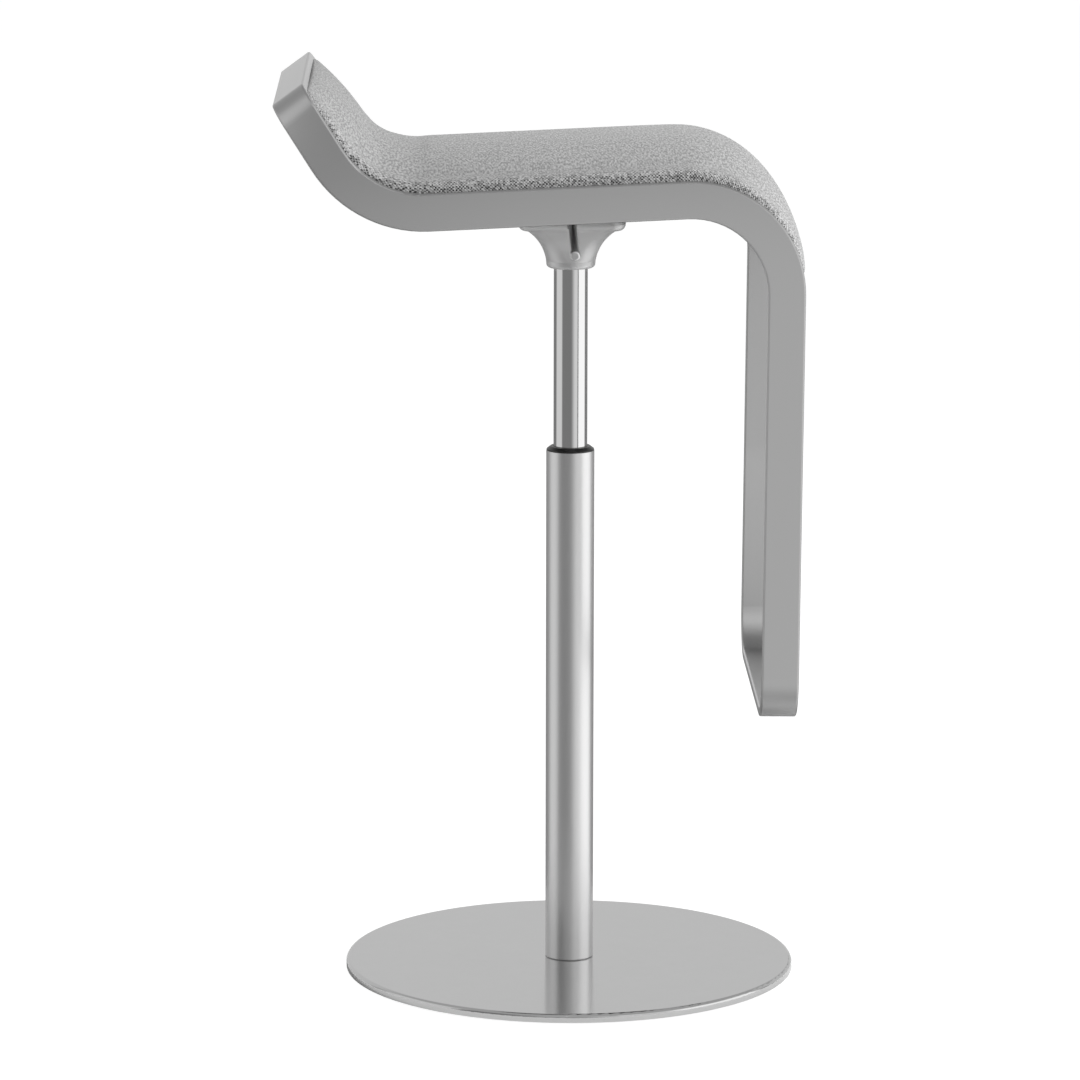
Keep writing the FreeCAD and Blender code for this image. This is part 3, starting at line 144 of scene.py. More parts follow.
class Wire:
    """A value in a node tree. Arithmetic on it adds Math nodes."""

    def __init__(self, look, socket):
        self.look = look
        self.socket = socket

    def math(self, operation, *values):
        node = self.look.tree.nodes.new("ShaderNodeMath")
        node.operation = operation
        for socket, value in zip(node.inputs, values):
            self.look.plug(socket, value)
        return Wire(self.look, node.outputs[0])

    def __add__(self, other):
        return self.math("ADD", self, other)

    __radd__ = __add__

    def __sub__(self, other):
        return self.math("SUBTRACT", self, other)

    def __rsub__(self, other):
        return self.math("SUBTRACT", other, self)

    def __mul__(self, other):
        return self.math("MULTIPLY", self, other)

    __rmul__ = __mul__

    def __truediv__(self, other):
        return self.math("DIVIDE", self, other)

    def __rtruediv__(self, other):
        return self.math("DIVIDE", other, self)

    def __pow__(self, other):
        return self.math("POWER", self, other)

    def __abs__(self):
        return self.math("ABSOLUTE", self)

    def __floor__(self):
        return self.math("FLOOR", self)

    def sine(self):
        return self.math("SINE", self)

    def within(self, limit):
        """The value, held between a limit and its negative."""
        return self.math("MAXIMUM", self.math("MINIMUM", self, limit), -limit)


class Look:
    """A node tree that grows by calls."""

    def __init__(self, tree):
        self.tree = tree

    @staticmethod
    def find(sockets, key):
        """A socket by its number, or by its own identifier, or by its name."""
        if isinstance(key, int):
            return sockets[key]
        for socket in sockets:
            if socket.identifier == key:
                return socket
        return sockets[key]

    def plug(self, socket, value):
        """Link a wire to a socket, or set the socket's value."""
        if isinstance(value, Wire):
            self.tree.links.new(value.socket, socket)
        elif hasattr(value, "__len__") and socket.type == "RGBA" and len(value) == 3:
            socket.default_value = (*value, 1.0)
        else:
            socket.default_value = value

    def node(self, kind, settings=None, sockets=None, output=0):
        """Add a node: its settings first, then the values or links of its sockets."""
        made = self.tree.nodes.new(kind)
        for name, value in (settings or {}).items():
            setattr(made, name, value)
        for key, value in (sockets or {}).items():
            self.plug(self.find(made.inputs, key), value)
        return Wire(self, self.find(made.outputs, output))

    def place(self):
        """Where a point of the surface is, in the part's own frame."""
        return self.node("ShaderNodeTexCoord", output="Object")

    def split(self, vector):
        """A vector's three numbers."""
        first = self.node("ShaderNodeSeparateXYZ", sockets={"Vector": vector})
        return [Wire(self, socket) for socket in first.socket.node.outputs]

    def stretched(self, vector, pitch):
        """A vector counted in its own pitch along each axis."""
        counts = tuple(1 / step for step in pitch)
        return self.node("ShaderNodeVectorMath", {"operation": "MULTIPLY"}, {0: vector, 1: counts})

    def noise(self, vector, pitch, detail=2.0):
        """Cloudy noise from 0 to 1, with its grain's pitch along each axis."""
        sockets = {"Vector": self.stretched(vector, pitch), "Scale": 1.0, "Detail": detail}
        return self.node("ShaderNodeTexNoise", sockets=sockets, output="Fac")

    def ease(self, value, low, high, from_value=0.0, to_value=1.0):
        """A smooth step of a value between two limits."""
        sockets = {"Value": value, "From Min": low, "From Max": high,
                   "To Min": from_value, "To Max": to_value}
        return self.node("ShaderNodeMapRange", {"interpolation_type": "SMOOTHSTEP"}, sockets)

    def blend(self, factor, first, second):
        """A colour between two others."""
        sockets = {"Factor_Float": factor, "A_Color": first, "B_Color": second}
        return self.node("ShaderNodeMix", {"data_type": "RGBA"}, sockets, "Result_Color")

    def bump(self, height, depth, strength=1.0):
        """A surface's small relief, with its depth in metres."""
        sockets = {"Height": height, "Distance": depth, "Strength": strength}
        return self.node("ShaderNodeBump", sockets=sockets)

    def pair(self, first, second):
        """A vector of two numbers."""
        return self.node("ShaderNodeCombineXYZ", sockets={"X": first, "Y": second})

    def rays(self):
        """1 for the camera's rays, and 1 for those that a polished surface mirrors."""
        outputs = self.node("ShaderNodeLightPath").socket.node.outputs
        return Wire(self, outputs["Is Camera Ray"]), Wire(self, outputs["Is Glossy Ray"])


class Finish(Look):
    """One material on a principled shader, with its constants set on the shader itself."""

    def __init__(self, name, constants):
        self.material = bpy.data.materials.new(name)
        self.material.use_nodes = True
        super().__init__(self.material.node_tree)
        self.shader = self.tree.nodes["Principled BSDF"]
        for key, value in constants.items():
            self.plug(self.shader.inputs[key], value)

    def drive(self, sockets):
        """Feed what changes over the surface, and give the finished material."""
        for key, value in sockets.items():
            self.plug(self.shader.inputs[key], value)
        return self.material


def shade(colour, factor):
    """A colour made lighter or darker."""
    return tuple(min(max(part * factor, 0.0), 1.0) for part in colour)


def colours():
    """The finishes' colours, as they are set."""
    return bpy.context.scene.stool_finish


def dress(material, *nodes):
    """Give CAD nodes a finish."""
    for name in nodes:
        mesh = NODES[name].data
        mesh.materials.clear()
        mesh.materials.append(material)


# Metal finishes

METAL_CLOUD = 60 * MM
METAL_CLOUD_SHARE = 0.3


def grained_metal(name, colour, roughness, pitch, streak, spread, relief=0.0, metallic=1.0):
    """A metal with a fine grain: its pitch along each axis, its streaks' tone and its spread of roughness."""
    look = Finish(name, {"Metallic": metallic})
    place = look.place()
    grain = look.noise(place, pitch, detail=3.0)
    cloud = look.noise(place, (METAL_CLOUD,) * 3)
    tone = grain * (1 - METAL_CLOUD_SHARE) + cloud * METAL_CLOUD_SHARE
    sockets = {
        "Base Color": look.blend(tone, shade(colour, 1 - streak), shade(colour, 1 + streak)),
        "Roughness": roughness - spread / 2 + spread * grain,
    }
    if relief:
        sockets["Normal"] = look.bump(grain, relief)
    return look.drive(sockets)


@functools.cache
def brushed_base():
    return grained_metal("brushed_base", colours().base, roughness=0.13, pitch=(14 * MM, 14 * MM, 0.7 * MM),
                         streak=0.03, spread=0.03)


@functools.cache
def satin_column():
    return grained_metal("satin_column", colours().column, roughness=0.36,
                         pitch=(0.5 * MM, 0.5 * MM, 30 * MM), streak=0.04, spread=0.05)


@functools.cache
def satin_hoop():
    return grained_metal("satin_hoop", colours().hoop, roughness=0.42, pitch=(0.6 * MM,) * 3,
                         streak=0.03, spread=0.05)


@functools.cache
def polished_chrome():
    return grained_metal("polished_chrome", colours().chrome, roughness=0.06,
                         pitch=(0.8 * MM, 0.8 * MM, 25 * MM), streak=0.02, spread=0.03)


@functools.cache
def satin_lever():
    return grained_metal("satin_lever", colours().chrome, roughness=0.3, pitch=(0.5 * MM, 6 * MM, 0.5 * MM),
                         streak=0.04, spread=0.06, metallic=0.8)


@functools.cache
def silver_hub():
    return grained_metal("cast_hub", colours().hub, roughness=0.48, pitch=(0.9 * MM,) * 3,
                         streak=0.05, spread=0.08, relief=0.02 * MM, metallic=0.75)


@functools.cache
def zinc_plate():
    return grained_metal("zinc_fasteners", (0.6, 0.6, 0.62), roughness=0.32, pitch=(0.7 * MM,) * 3,
                         streak=0.08, spread=0.1)


@functools.cache
def plain_steel():
    return grained_metal("plain_steel", (0.45, 0.45, 0.46), roughness=0.34,
                         pitch=(8 * MM, 0.4 * MM, 0.4 * MM), streak=0.08, spread=0.08)


@functools.cache
def ground_steel():
    return grained_metal("bearing_steel", (0.55, 0.55, 0.56), roughness=0.14,
                         pitch=(0.5 * MM, 0.5 * MM, 3 * MM), streak=0.03, spread=0.05)


@functools.cache
def stamped_brass():
    return grained_metal("brass_cage", (0.7, 0.55, 0.25), roughness=0.3, pitch=(0.6 * MM,) * 3,
                         streak=0.08, spread=0.1)


@functools.cache
def raw_casting():
    return grained_metal("cast_aluminium", (0.6, 0.6, 0.61), roughness=0.45, pitch=(0.8 * MM,) * 3,
                         streak=0.08, spread=0.12, relief=0.04 * MM)


# Finishes that aren't metal

MOULD_CLOUD = 25
MOULD_SPREAD = 0.12
MOULD_TONES = (0.8, 1.25)


def moulded(name, colour, roughness, pitch, relief):
    """A matt or slightly glossy moulding with a fine skin."""
    look = Finish(name, {})
    place = look.place()
    skin = look.noise(place, (pitch,) * 3, detail=3.0)
    cloud = look.noise(place, (MOULD_CLOUD * pitch,) * 3)
    dark, light = (shade(colour, tone) for tone in MOULD_TONES)
    return look.drive({
        "Base Color": look.blend(cloud, dark, light),
        "Roughness": roughness - MOULD_SPREAD / 2 + MOULD_SPREAD * skin,
        "Normal": look.bump(skin, relief),
    })


@functools.cache
def black_bush():
    return moulded("black_bush", colours().bush, roughness=0.34, pitch=0.5 * MM, relief=0.01 * MM)


@functools.cache
def black_rubber():
    return moulded("black_rubber", (0.03, 0.03, 0.03), roughness=0.75, pitch=0.7 * MM, relief=0.05 * MM)


@functools.cache
def floor_felt():
    return moulded("floor_pad_felt", (0.05, 0.05, 0.05), roughness=0.9, pitch=0.8 * MM, relief=0.2 * MM)


@functools.cache
def black_paint():
    return moulded("black_paint", (0.03, 0.03, 0.03), roughness=0.45, pitch=1.1 * MM, relief=0.03 * MM)


BOARD_GRAIN = (70 * MM, 1.1 * MM, 1.1 * MM)
BOARD_PORES = (9 * MM, 0.35 * MM, 0.35 * MM)
BOARD_TONES = (0.55, 1.6)
BOARD_RELIEF = 0.08 * MM


@functools.cache
def stained_board():
    """Black-stained board with a long grain from back to front."""
    look = Finish("shell_board", {})
    place = look.place()
    grain = look.noise(place, BOARD_GRAIN, detail=4.0)
    pores = look.noise(place, BOARD_PORES)
    dark, light = (shade(colours().board, tone) for tone in BOARD_TONES)
    return look.drive({
        "Base Color": look.blend(grain, dark, light),
        "Roughness": 0.5 + 0.18 * pores,
        "Normal": look.bump(grain * 0.4 + pores * 0.6, BOARD_RELIEF),
    })


WEAVE_MAP = "weave"
# Where the cloth turns down to the pad's side, from its middle line
SIDE_BAND = (0.1285, 0.1445)
# How many times longer the mottling is across the top than along it
SLUB = 3.2
STRAY_SCALE = 0.45
STRAY_LESS_ON_SIDE = 0.4
YARN_GRAIN = 0.9
TONE_RANGE = (0.37, 0.63)
CLOUD_PITCH = 16 * MM
CLOUD_SHARE = 0.1
FIBRE_PITCH = 0.5 * MM
# The side band's weave: how much finer it is, its own spots, and the painted light that makes its yarns
# lighter
SIDE_COUNT = 1.4
SIDE_SPOTS = 0.3
SIDE_PAINTED_LIGHT = 1.12
# Painted shade in the gaps between the yarns: cover under which a gap is in full painted shade, on the top
# and on the side, cover from which it has none, and how dark the painted shade is
SHADE_ON_TOP = -6.0
SHADE_ON_SIDE = -0.5
UNSHADED = 0.45
GAP_SHADE = 0.2
# What covers a gap from the painted shade: the weave, its fibres and its spots
WEAVE_COVER = 0.8
FIBRE_COVER = 0.6
SPOT_COVER = 1.1
# Relief of the weave on the top, what the side band adds, and the fibres'
TOP_RELIEF = 0.15
SIDE_RELIEF = 0.35
FIBRE_RELIEF = 0.35
CLOTH_RELIEF = 0.5 * MM
CLOTH_RELIEF_STRENGTH = 0.7


@functools.cache
def grey_wool():
    """Mottled wool cloth: a plain weave of light and dark yarns with a soft nap, with painted shade in the
    gaps between the yarns and painted light on the side band.
    """
    look = Finish("grey_wool", {"Sheen Weight": 0.25, "Sheen Roughness": 0.5, "Specular IOR Level": 0.2})
    pitch = bpy.context.scene.stool_pad.weave_pitch
    along, across, _ = look.split(look.node("ShaderNodeUVMap", {"uv_map": WEAVE_MAP}))
    side = look.ease(abs(across), *SIDE_BAND)
    warp = along / pitch
    weft = (across - across.within(SIDE_BAND[0]) * (1 - 1 / SLUB)) / pitch
    sockets = {"Vector": look.pair(warp, weft), "Scale": STRAY_SCALE, "Detail": 2.0}
    stray_warp, stray_weft, _ = look.split(look.node("ShaderNodeTexNoise", sockets=sockets, output="Color"))
    loose = 1 - STRAY_LESS_ON_SIDE * side
    warp = warp + (stray_warp - 0.5) * loose
    weft = weft + (stray_weft - 0.5) * loose
    yarn = look.noise(look.pair(warp, weft), (YARN_GRAIN, YARN_GRAIN, 1.0), detail=3.0)
    fine_warp, fine_weft = warp * SIDE_COUNT, weft * SIDE_COUNT
    cell = look.pair(math.floor(fine_warp), math.floor(fine_weft))
    spot = look.node("ShaderNodeTexWhiteNoise", {"noise_dimensions": "2D"}, {"Vector": cell}, "Value")
    checker = (fine_warp * math.pi).sine() * (fine_weft * math.pi).sine()
    place = look.place()
    cloud = look.noise(place, (CLOUD_PITCH,) * 3, detail=3.0)
    fibre = look.noise(place, (FIBRE_PITCH,) * 3, detail=3.0)
    yarn = yarn + SIDE_SPOTS * side * (spot - yarn)
    tone = look.ease((1 - CLOUD_SHARE) * yarn + CLOUD_SHARE * cloud, *TONE_RANGE)
    dark, light = colours().yarn_dark, colours().yarn_light
    on_top = look.blend(tone, dark, light)
    # Painted light: a lighter copy of the yarn colours on the side band, where the cloth turns down
    lit_on_side = look.blend(tone, shade(dark, SIDE_PAINTED_LIGHT), shade(light, SIDE_PAINTED_LIGHT))
    # Painted shade: the gaps between the yarns go dark where little covers them, far more on the side band
    cover = WEAVE_COVER * checker + FIBRE_COVER * fibre + SPOT_COVER * (spot - 0.5)
    unshaded = look.ease(cover, (SHADE_ON_SIDE - SHADE_ON_TOP) * side + SHADE_ON_TOP, UNSHADED)
    relief = checker * (TOP_RELIEF + SIDE_RELIEF * side) + fibre * FIBRE_RELIEF
    return look.drive({
        "Base Color": look.blend(unshaded, shade(dark, GAP_SHADE), look.blend(side, on_top, lit_on_side)),
        "Roughness": 0.85 + 0.1 * fibre,
        "Normal": look.bump(relief, CLOTH_RELIEF, CLOTH_RELIEF_STRENGTH),
    })


# Upholstery

# Sections of the pad in its two round ends, points of an outline's top, and the powers of its curves
BACK_STEPS = 14
FRONT_STEPS = 7
OUTLINE_STEPS = 240
CROWN_POWER = 2.2
END_POWER = 0.5


def ease(value):
    """A smooth step from 0 to 1."""
    value = min(max(value, 0.0), 1.0)
    return value * value * (3 - 2 * value)


class SeatLine:
    """The hoop's lower edge, followed from its back end, on the seat's slope."""

    def __init__(self, sizes):
        self.sizes = sizes
        self.back_end = sizes.back_length
        self.flat_start = self.back_end + sizes.back_bend * sizes.back_turn
        self.flat_end = self.flat_start + sizes.back_reach + sizes.front_reach
        self.start = sizes.pad_start
        self.end = self.flat_end + sizes.front_bend * sizes.front_wrap
        tilt = Matrix.Rotation(sizes.seat_slope, 4, (0, -1, 0))
        self.frame = Matrix.Translation((0, 0, sizes.seat_height)) @ tilt

    def at(self, run):
        """The point at a run, and the way up from it, in the seat's own plane."""
        sizes = self.sizes
        if run < self.flat_start:
            angle = sizes.back_turn - max(run - self.back_end, 0) / sizes.back_bend
            past = min(run - self.back_end, 0)
            spot = Vector((-sizes.back_reach - sizes.back_bend * math.sin(angle) + past * math.cos(angle), 0,
                           sizes.back_bend * (1 - math.cos(angle)) - past * math.sin(angle)))
            return spot, Vector((math.sin(angle), 0, math.cos(angle)))
        if run < self.flat_end:
            return Vector((run - self.flat_start - sizes.back_reach, 0, 0)), Vector((0, 0, 1))
        angle = (run - self.flat_end) / sizes.front_bend
        up = Vector((math.sin(angle), 0, math.cos(angle)))
        return Vector((sizes.front_reach, 0, -sizes.front_bend)) + sizes.front_bend * up, up

    def crown(self, run):
        """Height of the pad's middle over the bar at a run."""
        sizes = self.sizes
        rise = min(max((run - self.start) / (self.flat_start - self.start), 0.0), 1.0)
        fall = ease((run - self.flat_end) / (self.end - self.flat_end))
        full = sizes.back_crown + rise * (sizes.seat_crown - sizes.back_crown)
        full += fall * (sizes.front_crown - sizes.seat_crown)
        return sizes.end_crown + (full - sizes.end_crown) * self.swell(run)

    def swell(self, run):
        """Share of the pad's full size at a run: less at its round ends."""
        sizes = self.sizes
        depth = min((run - self.start) / sizes.back_round, (self.end - run) / sizes.front_round)
        depth = min(max(depth, 0.0), 1.0)
        return (1 - (1 - depth) ** 2) ** END_POWER

    def section_up(self, run):
        """The point at a run, and the way up in the section there, which slants with the hoop's end."""
        spot, up = self.at(run)
        slant = max(1 - (run - self.start) / self.sizes.back_round, 0.0) * math.tan(self.sizes.end_slant)
        return spot, up - slant * Vector((up.z, 0, -up.x))

    def half(self, run):
        """Half the pad's width at a run, less at its round corners."""
        sizes = self.sizes
        back = corner_depth(run - self.start, sizes.back_corner)
        return sizes.pad_half - back - corner_depth(self.end - run, sizes.front_corner)

    def stations(self):
        """Runs of the pad's sections, close together at its round ends."""
        sizes = self.sizes
        first = self.start + sizes.back_round
        last = self.end - sizes.front_round
        count = round((last - first) / sizes.mesh_step)
        runs = [self.start + sizes.back_round * part for part in quarter_steps(BACK_STEPS)]
        runs += [first + (last - first) * step / count for step in range(count + 1)]
        return runs + [self.end - sizes.front_round * part for part in reversed(quarter_steps(FRONT_STEPS))]


def corner_depth(run, radius):
    """How far a round corner's side stands back at a run from its end."""
    return radius - math.sqrt(radius ** 2 - max(radius - run, 0.0) ** 2)


def quarter_steps(count):
    """Shares of a quarter round, close together at its start."""
    return [1 - math.cos(math.pi / 2 * step / count) for step in range(count)]


def path_length(points):
    """Length of a path from point to point."""
    return sum((after - before).length for before, after in zip(points, points[1:]))


def even_steps(points, count):
    """Points spaced evenly along a closed outline, and the outline's length."""
    gaps = [(after - before).length for before, after in zip(points, points[1:] + points[:1])]
    whole = sum(gaps)
    spaced, reached, number = [], 0.0, 0
    for step in range(count):
        target = whole * step / count
        while reached + gaps[number] < target:
            reached += gaps[number]
            number += 1
        after = points[(number + 1) % len(points)]
        part = (target - reached) / gaps[number] if gaps[number] else 0
        spaced.append(points[number].lerp(after, part))
    return spaced, whole


def pad_outline(line, run):
    """One section of the pad as (across, up) points, from the middle of one side over the top."""
    sizes = line.sizes
    half = line.half(run)
    floor = sizes.pad_floor
    bend = sizes.side_round
    crown = line.crown(run)
    side = crown * sizes.side_share
    middle = (floor + sizes.bar_width + side - bend) / 2
    points = [Vector((half, middle))]
    for step in range(OUTLINE_STEPS + 1):
        across = math.cos(math.pi * step / OUTLINE_STEPS)
        height = side + (crown - side) * (1 - abs(across) ** CROWN_POWER)
        inside = max(bend - half * (1 - abs(across)), 0.0)
        drop = bend - math.sqrt(bend ** 2 - inside ** 2)
        points.append(Vector((half * across, sizes.bar_width + height - drop)))
    points.append(Vector((-half, middle)))
    points += [Vector((-half + 2 * half * step / OUTLINE_STEPS, floor)) for step in range(OUTLINE_STEPS + 1)]
    return points


def make_pad_mesh(line):
    """The pad's closed skin, with a map that follows the cloth along and across."""
    sizes = line.sizes
    runs = line.stations()
    middle = pad_outline(line, (line.start + line.end) / 2)
    count = 2 * round(path_length(middle + middle[:1]) / sizes.mesh_step / 2)
    shape = bmesh.new()
    weave = shape.loops.layers.uv.new(WEAVE_MAP)
    rings, lengths, overs, tops, along = [], [], [], [], []
    for run in runs:
        spot, up = line.section_up(run)
        points = pad_outline(line, run)
        outline, whole = even_steps(points, count)
        places = [line.frame @ (spot + Vector((0, point.x, 0)) + point.y * up) for point in outline]
        rings.append([shape.verts.new(place) for place in places])
        lengths.append(whole)
        overs.append(path_length(points[:2 + OUTLINE_STEPS // 2]))
        tops.append(spot + (sizes.bar_width + line.crown(run)) * up)
        along.append(along[-1] + (tops[-1] - tops[-2]).length if along else 0.0)
    for number in range(len(runs) - 1):
        for step in range(count):
            after = (step + 1) % count
            face = shape.faces.new((rings[number][step], rings[number][after],
                                    rings[number + 1][after], rings[number + 1][step]))
            corners = ((number, step), (number, step + 1), (number + 1, step + 1), (number + 1, step))
            for loop, (ring, spin) in zip(face.loops, corners):
                loop[weave].uv = (along[ring], lengths[ring] * spin / count - overs[ring])
    for ring, run in ((rings[0], along[0]), (rings[-1], along[-1])):
        close_end(shape, ring, run, weave)
    bmesh.ops.recalc_face_normals(shape, faces=shape.faces)
    mesh = bpy.data.meshes.new("seat_pad")
    shape.to_mesh(mesh)
    shape.free()
    mesh.polygons.foreach_set("use_smooth", [True] * len(mesh.polygons))
    return mesh


def close_end(shape, ring, run, weave):
    """Close one end of the pad with a ladder of faces between its top and its underside."""
    for step in range(len(ring) // 2):
        corners = (ring[step], ring[step + 1], ring[-step - 1], ring[-step])
        face = shape.faces.new(list(dict.fromkeys(corners)))
        for loop in face.loops:
            loop[weave].uv = (run + loop.vert.co.z, loop.vert.co.y)


SWELL_FRAMES = 20
EVEN_ROUNDS = 12
HOLD = "held"
# The cloth is held up to this height over the bar's edge
HOLD_OVER = 1 * MM
CLOTH_SETTINGS = {
    "quality": 6,
    "mass": 0.3,
    "tension_stiffness": 18,
    "compression_stiffness": 18,
    "shear_stiffness": 6,
    "bending_stiffness": 4,
    "pin_stiffness": 1.0,
    "use_pressure": True,
}


def swell_cloth(pad, line):
    """Blow the cloth up a little over the foam, held where it goes down beside the bar."""
    sizes = line.sizes
    rest = [vertex.co.copy() for vertex in pad.data.vertices]
    held = pad.vertex_groups.new(name=HOLD)
    back = line.frame.inverted()
    ups = held_heights(line, [back @ place for place in rest])
    limit = sizes.bar_width + HOLD_OVER
    held.add([number for number, up in enumerate(ups) if up < limit], 1.0, "REPLACE")
    cloth = pad.modifiers.new("cloth", "CLOTH")
    settings = cloth.settings
    for name, value in CLOTH_SETTINGS.items():
        setattr(settings, name, value)
    settings.vertex_group_mass = HOLD
    settings.uniform_pressure_force = sizes.pressure
    settings.effector_weights.gravity = 0
    cloth.collision_settings.use_collision = False
    scene = bpy.context.scene
    scene.frame_start = 1
    scene.frame_end = SWELL_FRAMES
    for number in range(1, SWELL_FRAMES + 1):
        scene.frame_set(number)
    swollen = pad.evaluated_get(bpy.context.evaluated_depsgraph_get()).data
    moves = [after.co - before for after, before in zip(swollen.vertices, rest)]
    pad.modifiers.remove(cloth)
    pad.vertex_groups.remove(held)
    for vertex, before, move in zip(pad.data.vertices, rest, evened(pad.data, moves)):
        vertex.co = before + soft_cap(move, sizes.swell_cap)
    scene.frame_set(1)


def soft_cap(move, cap):
    """A move that comes near to its cap and never past it."""
    return move * (cap * math.tanh(move.length / cap) / move.length) if move.length else move


def evened(mesh, moves):
    """Moves of a mesh's points, each shared with its neighbours."""
    beside = [[] for _ in moves]
    for edge in mesh.edges:
        first, second = edge.vertices
        beside[first].append(second)
        beside[second].append(first)
    for _ in range(EVEN_ROUNDS):
        moves = [(move + sum((moves[other] for other in others), Vector()) / len(others)) / 2
                 for move, others in zip(moves, beside)]
    return moves


def held_heights(line, places):
    """How high each place of the seat's own plane stands over the hoop's lower edge."""
    sizes = line.sizes
    heights = []
    for place in places:
        if place.x < -sizes.back_reach:
            centre = Vector((-sizes.back_reach, 0, sizes.back_bend))
            arm = Vector((place.x, 0, place.z)) - centre
            lean = Vector((math.cos(sizes.back_turn), 0, math.sin(sizes.back_turn)))
            beyond = arm.x * -lean.x + arm.z * lean.z
            if beyond > 0:
                up = Vector((math.sin(sizes.back_turn), 0, math.cos(sizes.back_turn)))
                heights.append(sizes.back_bend + arm.dot(up))
            else:
                heights.append(sizes.back_bend - arm.length)
        elif place.x > sizes.front_reach:
            centre = Vector((sizes.front_reach, 0, -sizes.front_bend))
            heights.append((Vector((place.x, 0, place.z)) - centre).length - sizes.front_bend)
        else:
            heights.append(place.z)
    return heights


# Operators

class StoolOperator:
    bl_options = {"REGISTER"}


class STOOL_OT_base(StoolOperator, bpy.types.Operator):
    """Finish the round base, its screws and its floor pad"""
    bl_idname = "stool.base"
    bl_label = "Base"

    def execute(self, context):
        dress(brushed_base(), "base_cover")
        dress(plain_steel(), "base_plate")
        dress(zinc_plate(), "base_screws")
        dress(floor_felt(), "floor_pad")
        return {"FINISHED"}


class STOOL_OT_column(StoolOperator, bpy.types.Operator):
    """Finish the column, its foot plug and the bush in its mouth"""
    bl_idname = "stool.column"
    bl_label = "Column"

    def execute(self, context):
        dress(satin_column(), "column_tube")
        dress(plain_steel(), "foot_plug")
        dress(black_bush(), "guide_bush")
        return {"FINISHED"}


class STOOL_OT_bearing(StoolOperator, bpy.types.Operator):
    """Finish the thrust bearing under the rod"""
    bl_idname = "stool.bearing"
    bl_label = "Thrust bearing"

    def execute(self, context):
        dress(ground_steel(), "bearing_lower_race", "bearing_upper_race", "bearing_balls")
        dress(stamped_brass(), "bearing_cage")
        return {"FINISHED"}


class STOOL_OT_gas_spring(StoolOperator, bpy.types.Operator):
    """Finish the gas spring"""
    bl_idname = "stool.gas_spring"
    bl_label = "Gas spring"

    def execute(self, context):
        dress(polished_chrome(), "gas_cylinder", "piston_rod")
        dress(raw_casting(), "piston", "rod_guide")
        dress(plain_steel(), "valve_body")
        dress(zinc_plate(), "valve_pin", "rod_washer", "rod_clip")
        dress(black_rubber(), "bump_stop")
        return {"FINISHED"}


class STOOL_OT_hub(StoolOperator, bpy.types.Operator):
    """Finish the cast hub under the seat and its bolts"""
    bl_idname = "stool.hub"
    bl_label = "Hub"

    def execute(self, context):
        dress(silver_hub(), "seat_hub")
        dress(zinc_plate(), "hub_bolts")
        return {"FINISHED"}


class STOOL_OT_lever(StoolOperator, bpy.types.Operator):
    """Finish the height lever"""
    bl_idname = "stool.lever"
    bl_label = "Lever"

    def execute(self, context):
        dress(satin_lever(), "lever_rod")
        dress(plain_steel(), "lever_tongue", "lever_pivot_pin")
        return {"FINISHED"}


class STOOL_OT_hoop(StoolOperator, bpy.types.Operator):
    """Finish the bent flat-bar hoop"""
    bl_idname = "stool.hoop"
    bl_label = "Hoop"

    def execute(self, context):
        dress(satin_hoop(), "hoop_frame")
        return {"FINISHED"}


class STOOL_OT_carrier(StoolOperator, bpy.types.Operator):
    """Finish the plate, the screws and the board that carry the pad"""
    bl_idname = "stool.carrier"
    bl_label = "Seat carrier"

    def execute(self, context):
        dress(black_paint(), "cross_plate")
        dress(zinc_plate(), "shell_screws")
        dress(stained_board(), "seat_shell")
        return {"FINISHED"}


class STOOL_OT_pad(StoolOperator, bpy.types.Operator):
    """Upholster the seat"""
    bl_idname = "stool.pad"
    bl_label = "Pad"

    def execute(self, context):
        line = SeatLine(context.scene.stool_pad)
        pad = bpy.data.objects.new("seat_pad", make_pad_mesh(line))
        context.scene.collection.objects.link(pad)
        swell_cloth(pad, line)
        smooth = pad.modifiers.new("smooth", "SUBSURF")
        smooth.levels = 1
        smooth.render_levels = 1
        pad.data.materials.append(grey_wool())
        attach(pad, "seat")
        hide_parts("seat_cover", "seat_foam")
        return {"FINISHED"}


# Studio

# The room as polished parts mirror it. Bearings are in degrees from the camera's side, and heights are the
# upward part of a ray's direction. Each wall card has its left and right edge, its left edge's softness and
# its brightness.
WALL_CARDS = (
    (-113, -61, 8, 0.83),
    (16, 54, 16, 0.86),
    (54, 112, 6, 1.35),
)
CARD_EDGE = 6
DARK_ROOM = 0.25
FRONT_WALL = 0.55
FRONT_WALL_EDGE = (10, 40)
FRONT_WALL_FROM = (0.1, 0.2)
BACKDROP = 0.705
BACKDROP_EDGE = 118
BACKDROP_FROM = (-0.14, -0.05)
CEILING = 0.5
CEILING_FROM = (0.5, 0.75)


def card(look, bearing, left, right, soft=CARD_EDGE):
    """1 between a card's two soft edges and 0 outside."""
    inside = look.ease(bearing, left - soft, left + soft)
    return inside * look.ease(bearing, right - CARD_EDGE, right + CARD_EDGE, 1.0, 0.0)


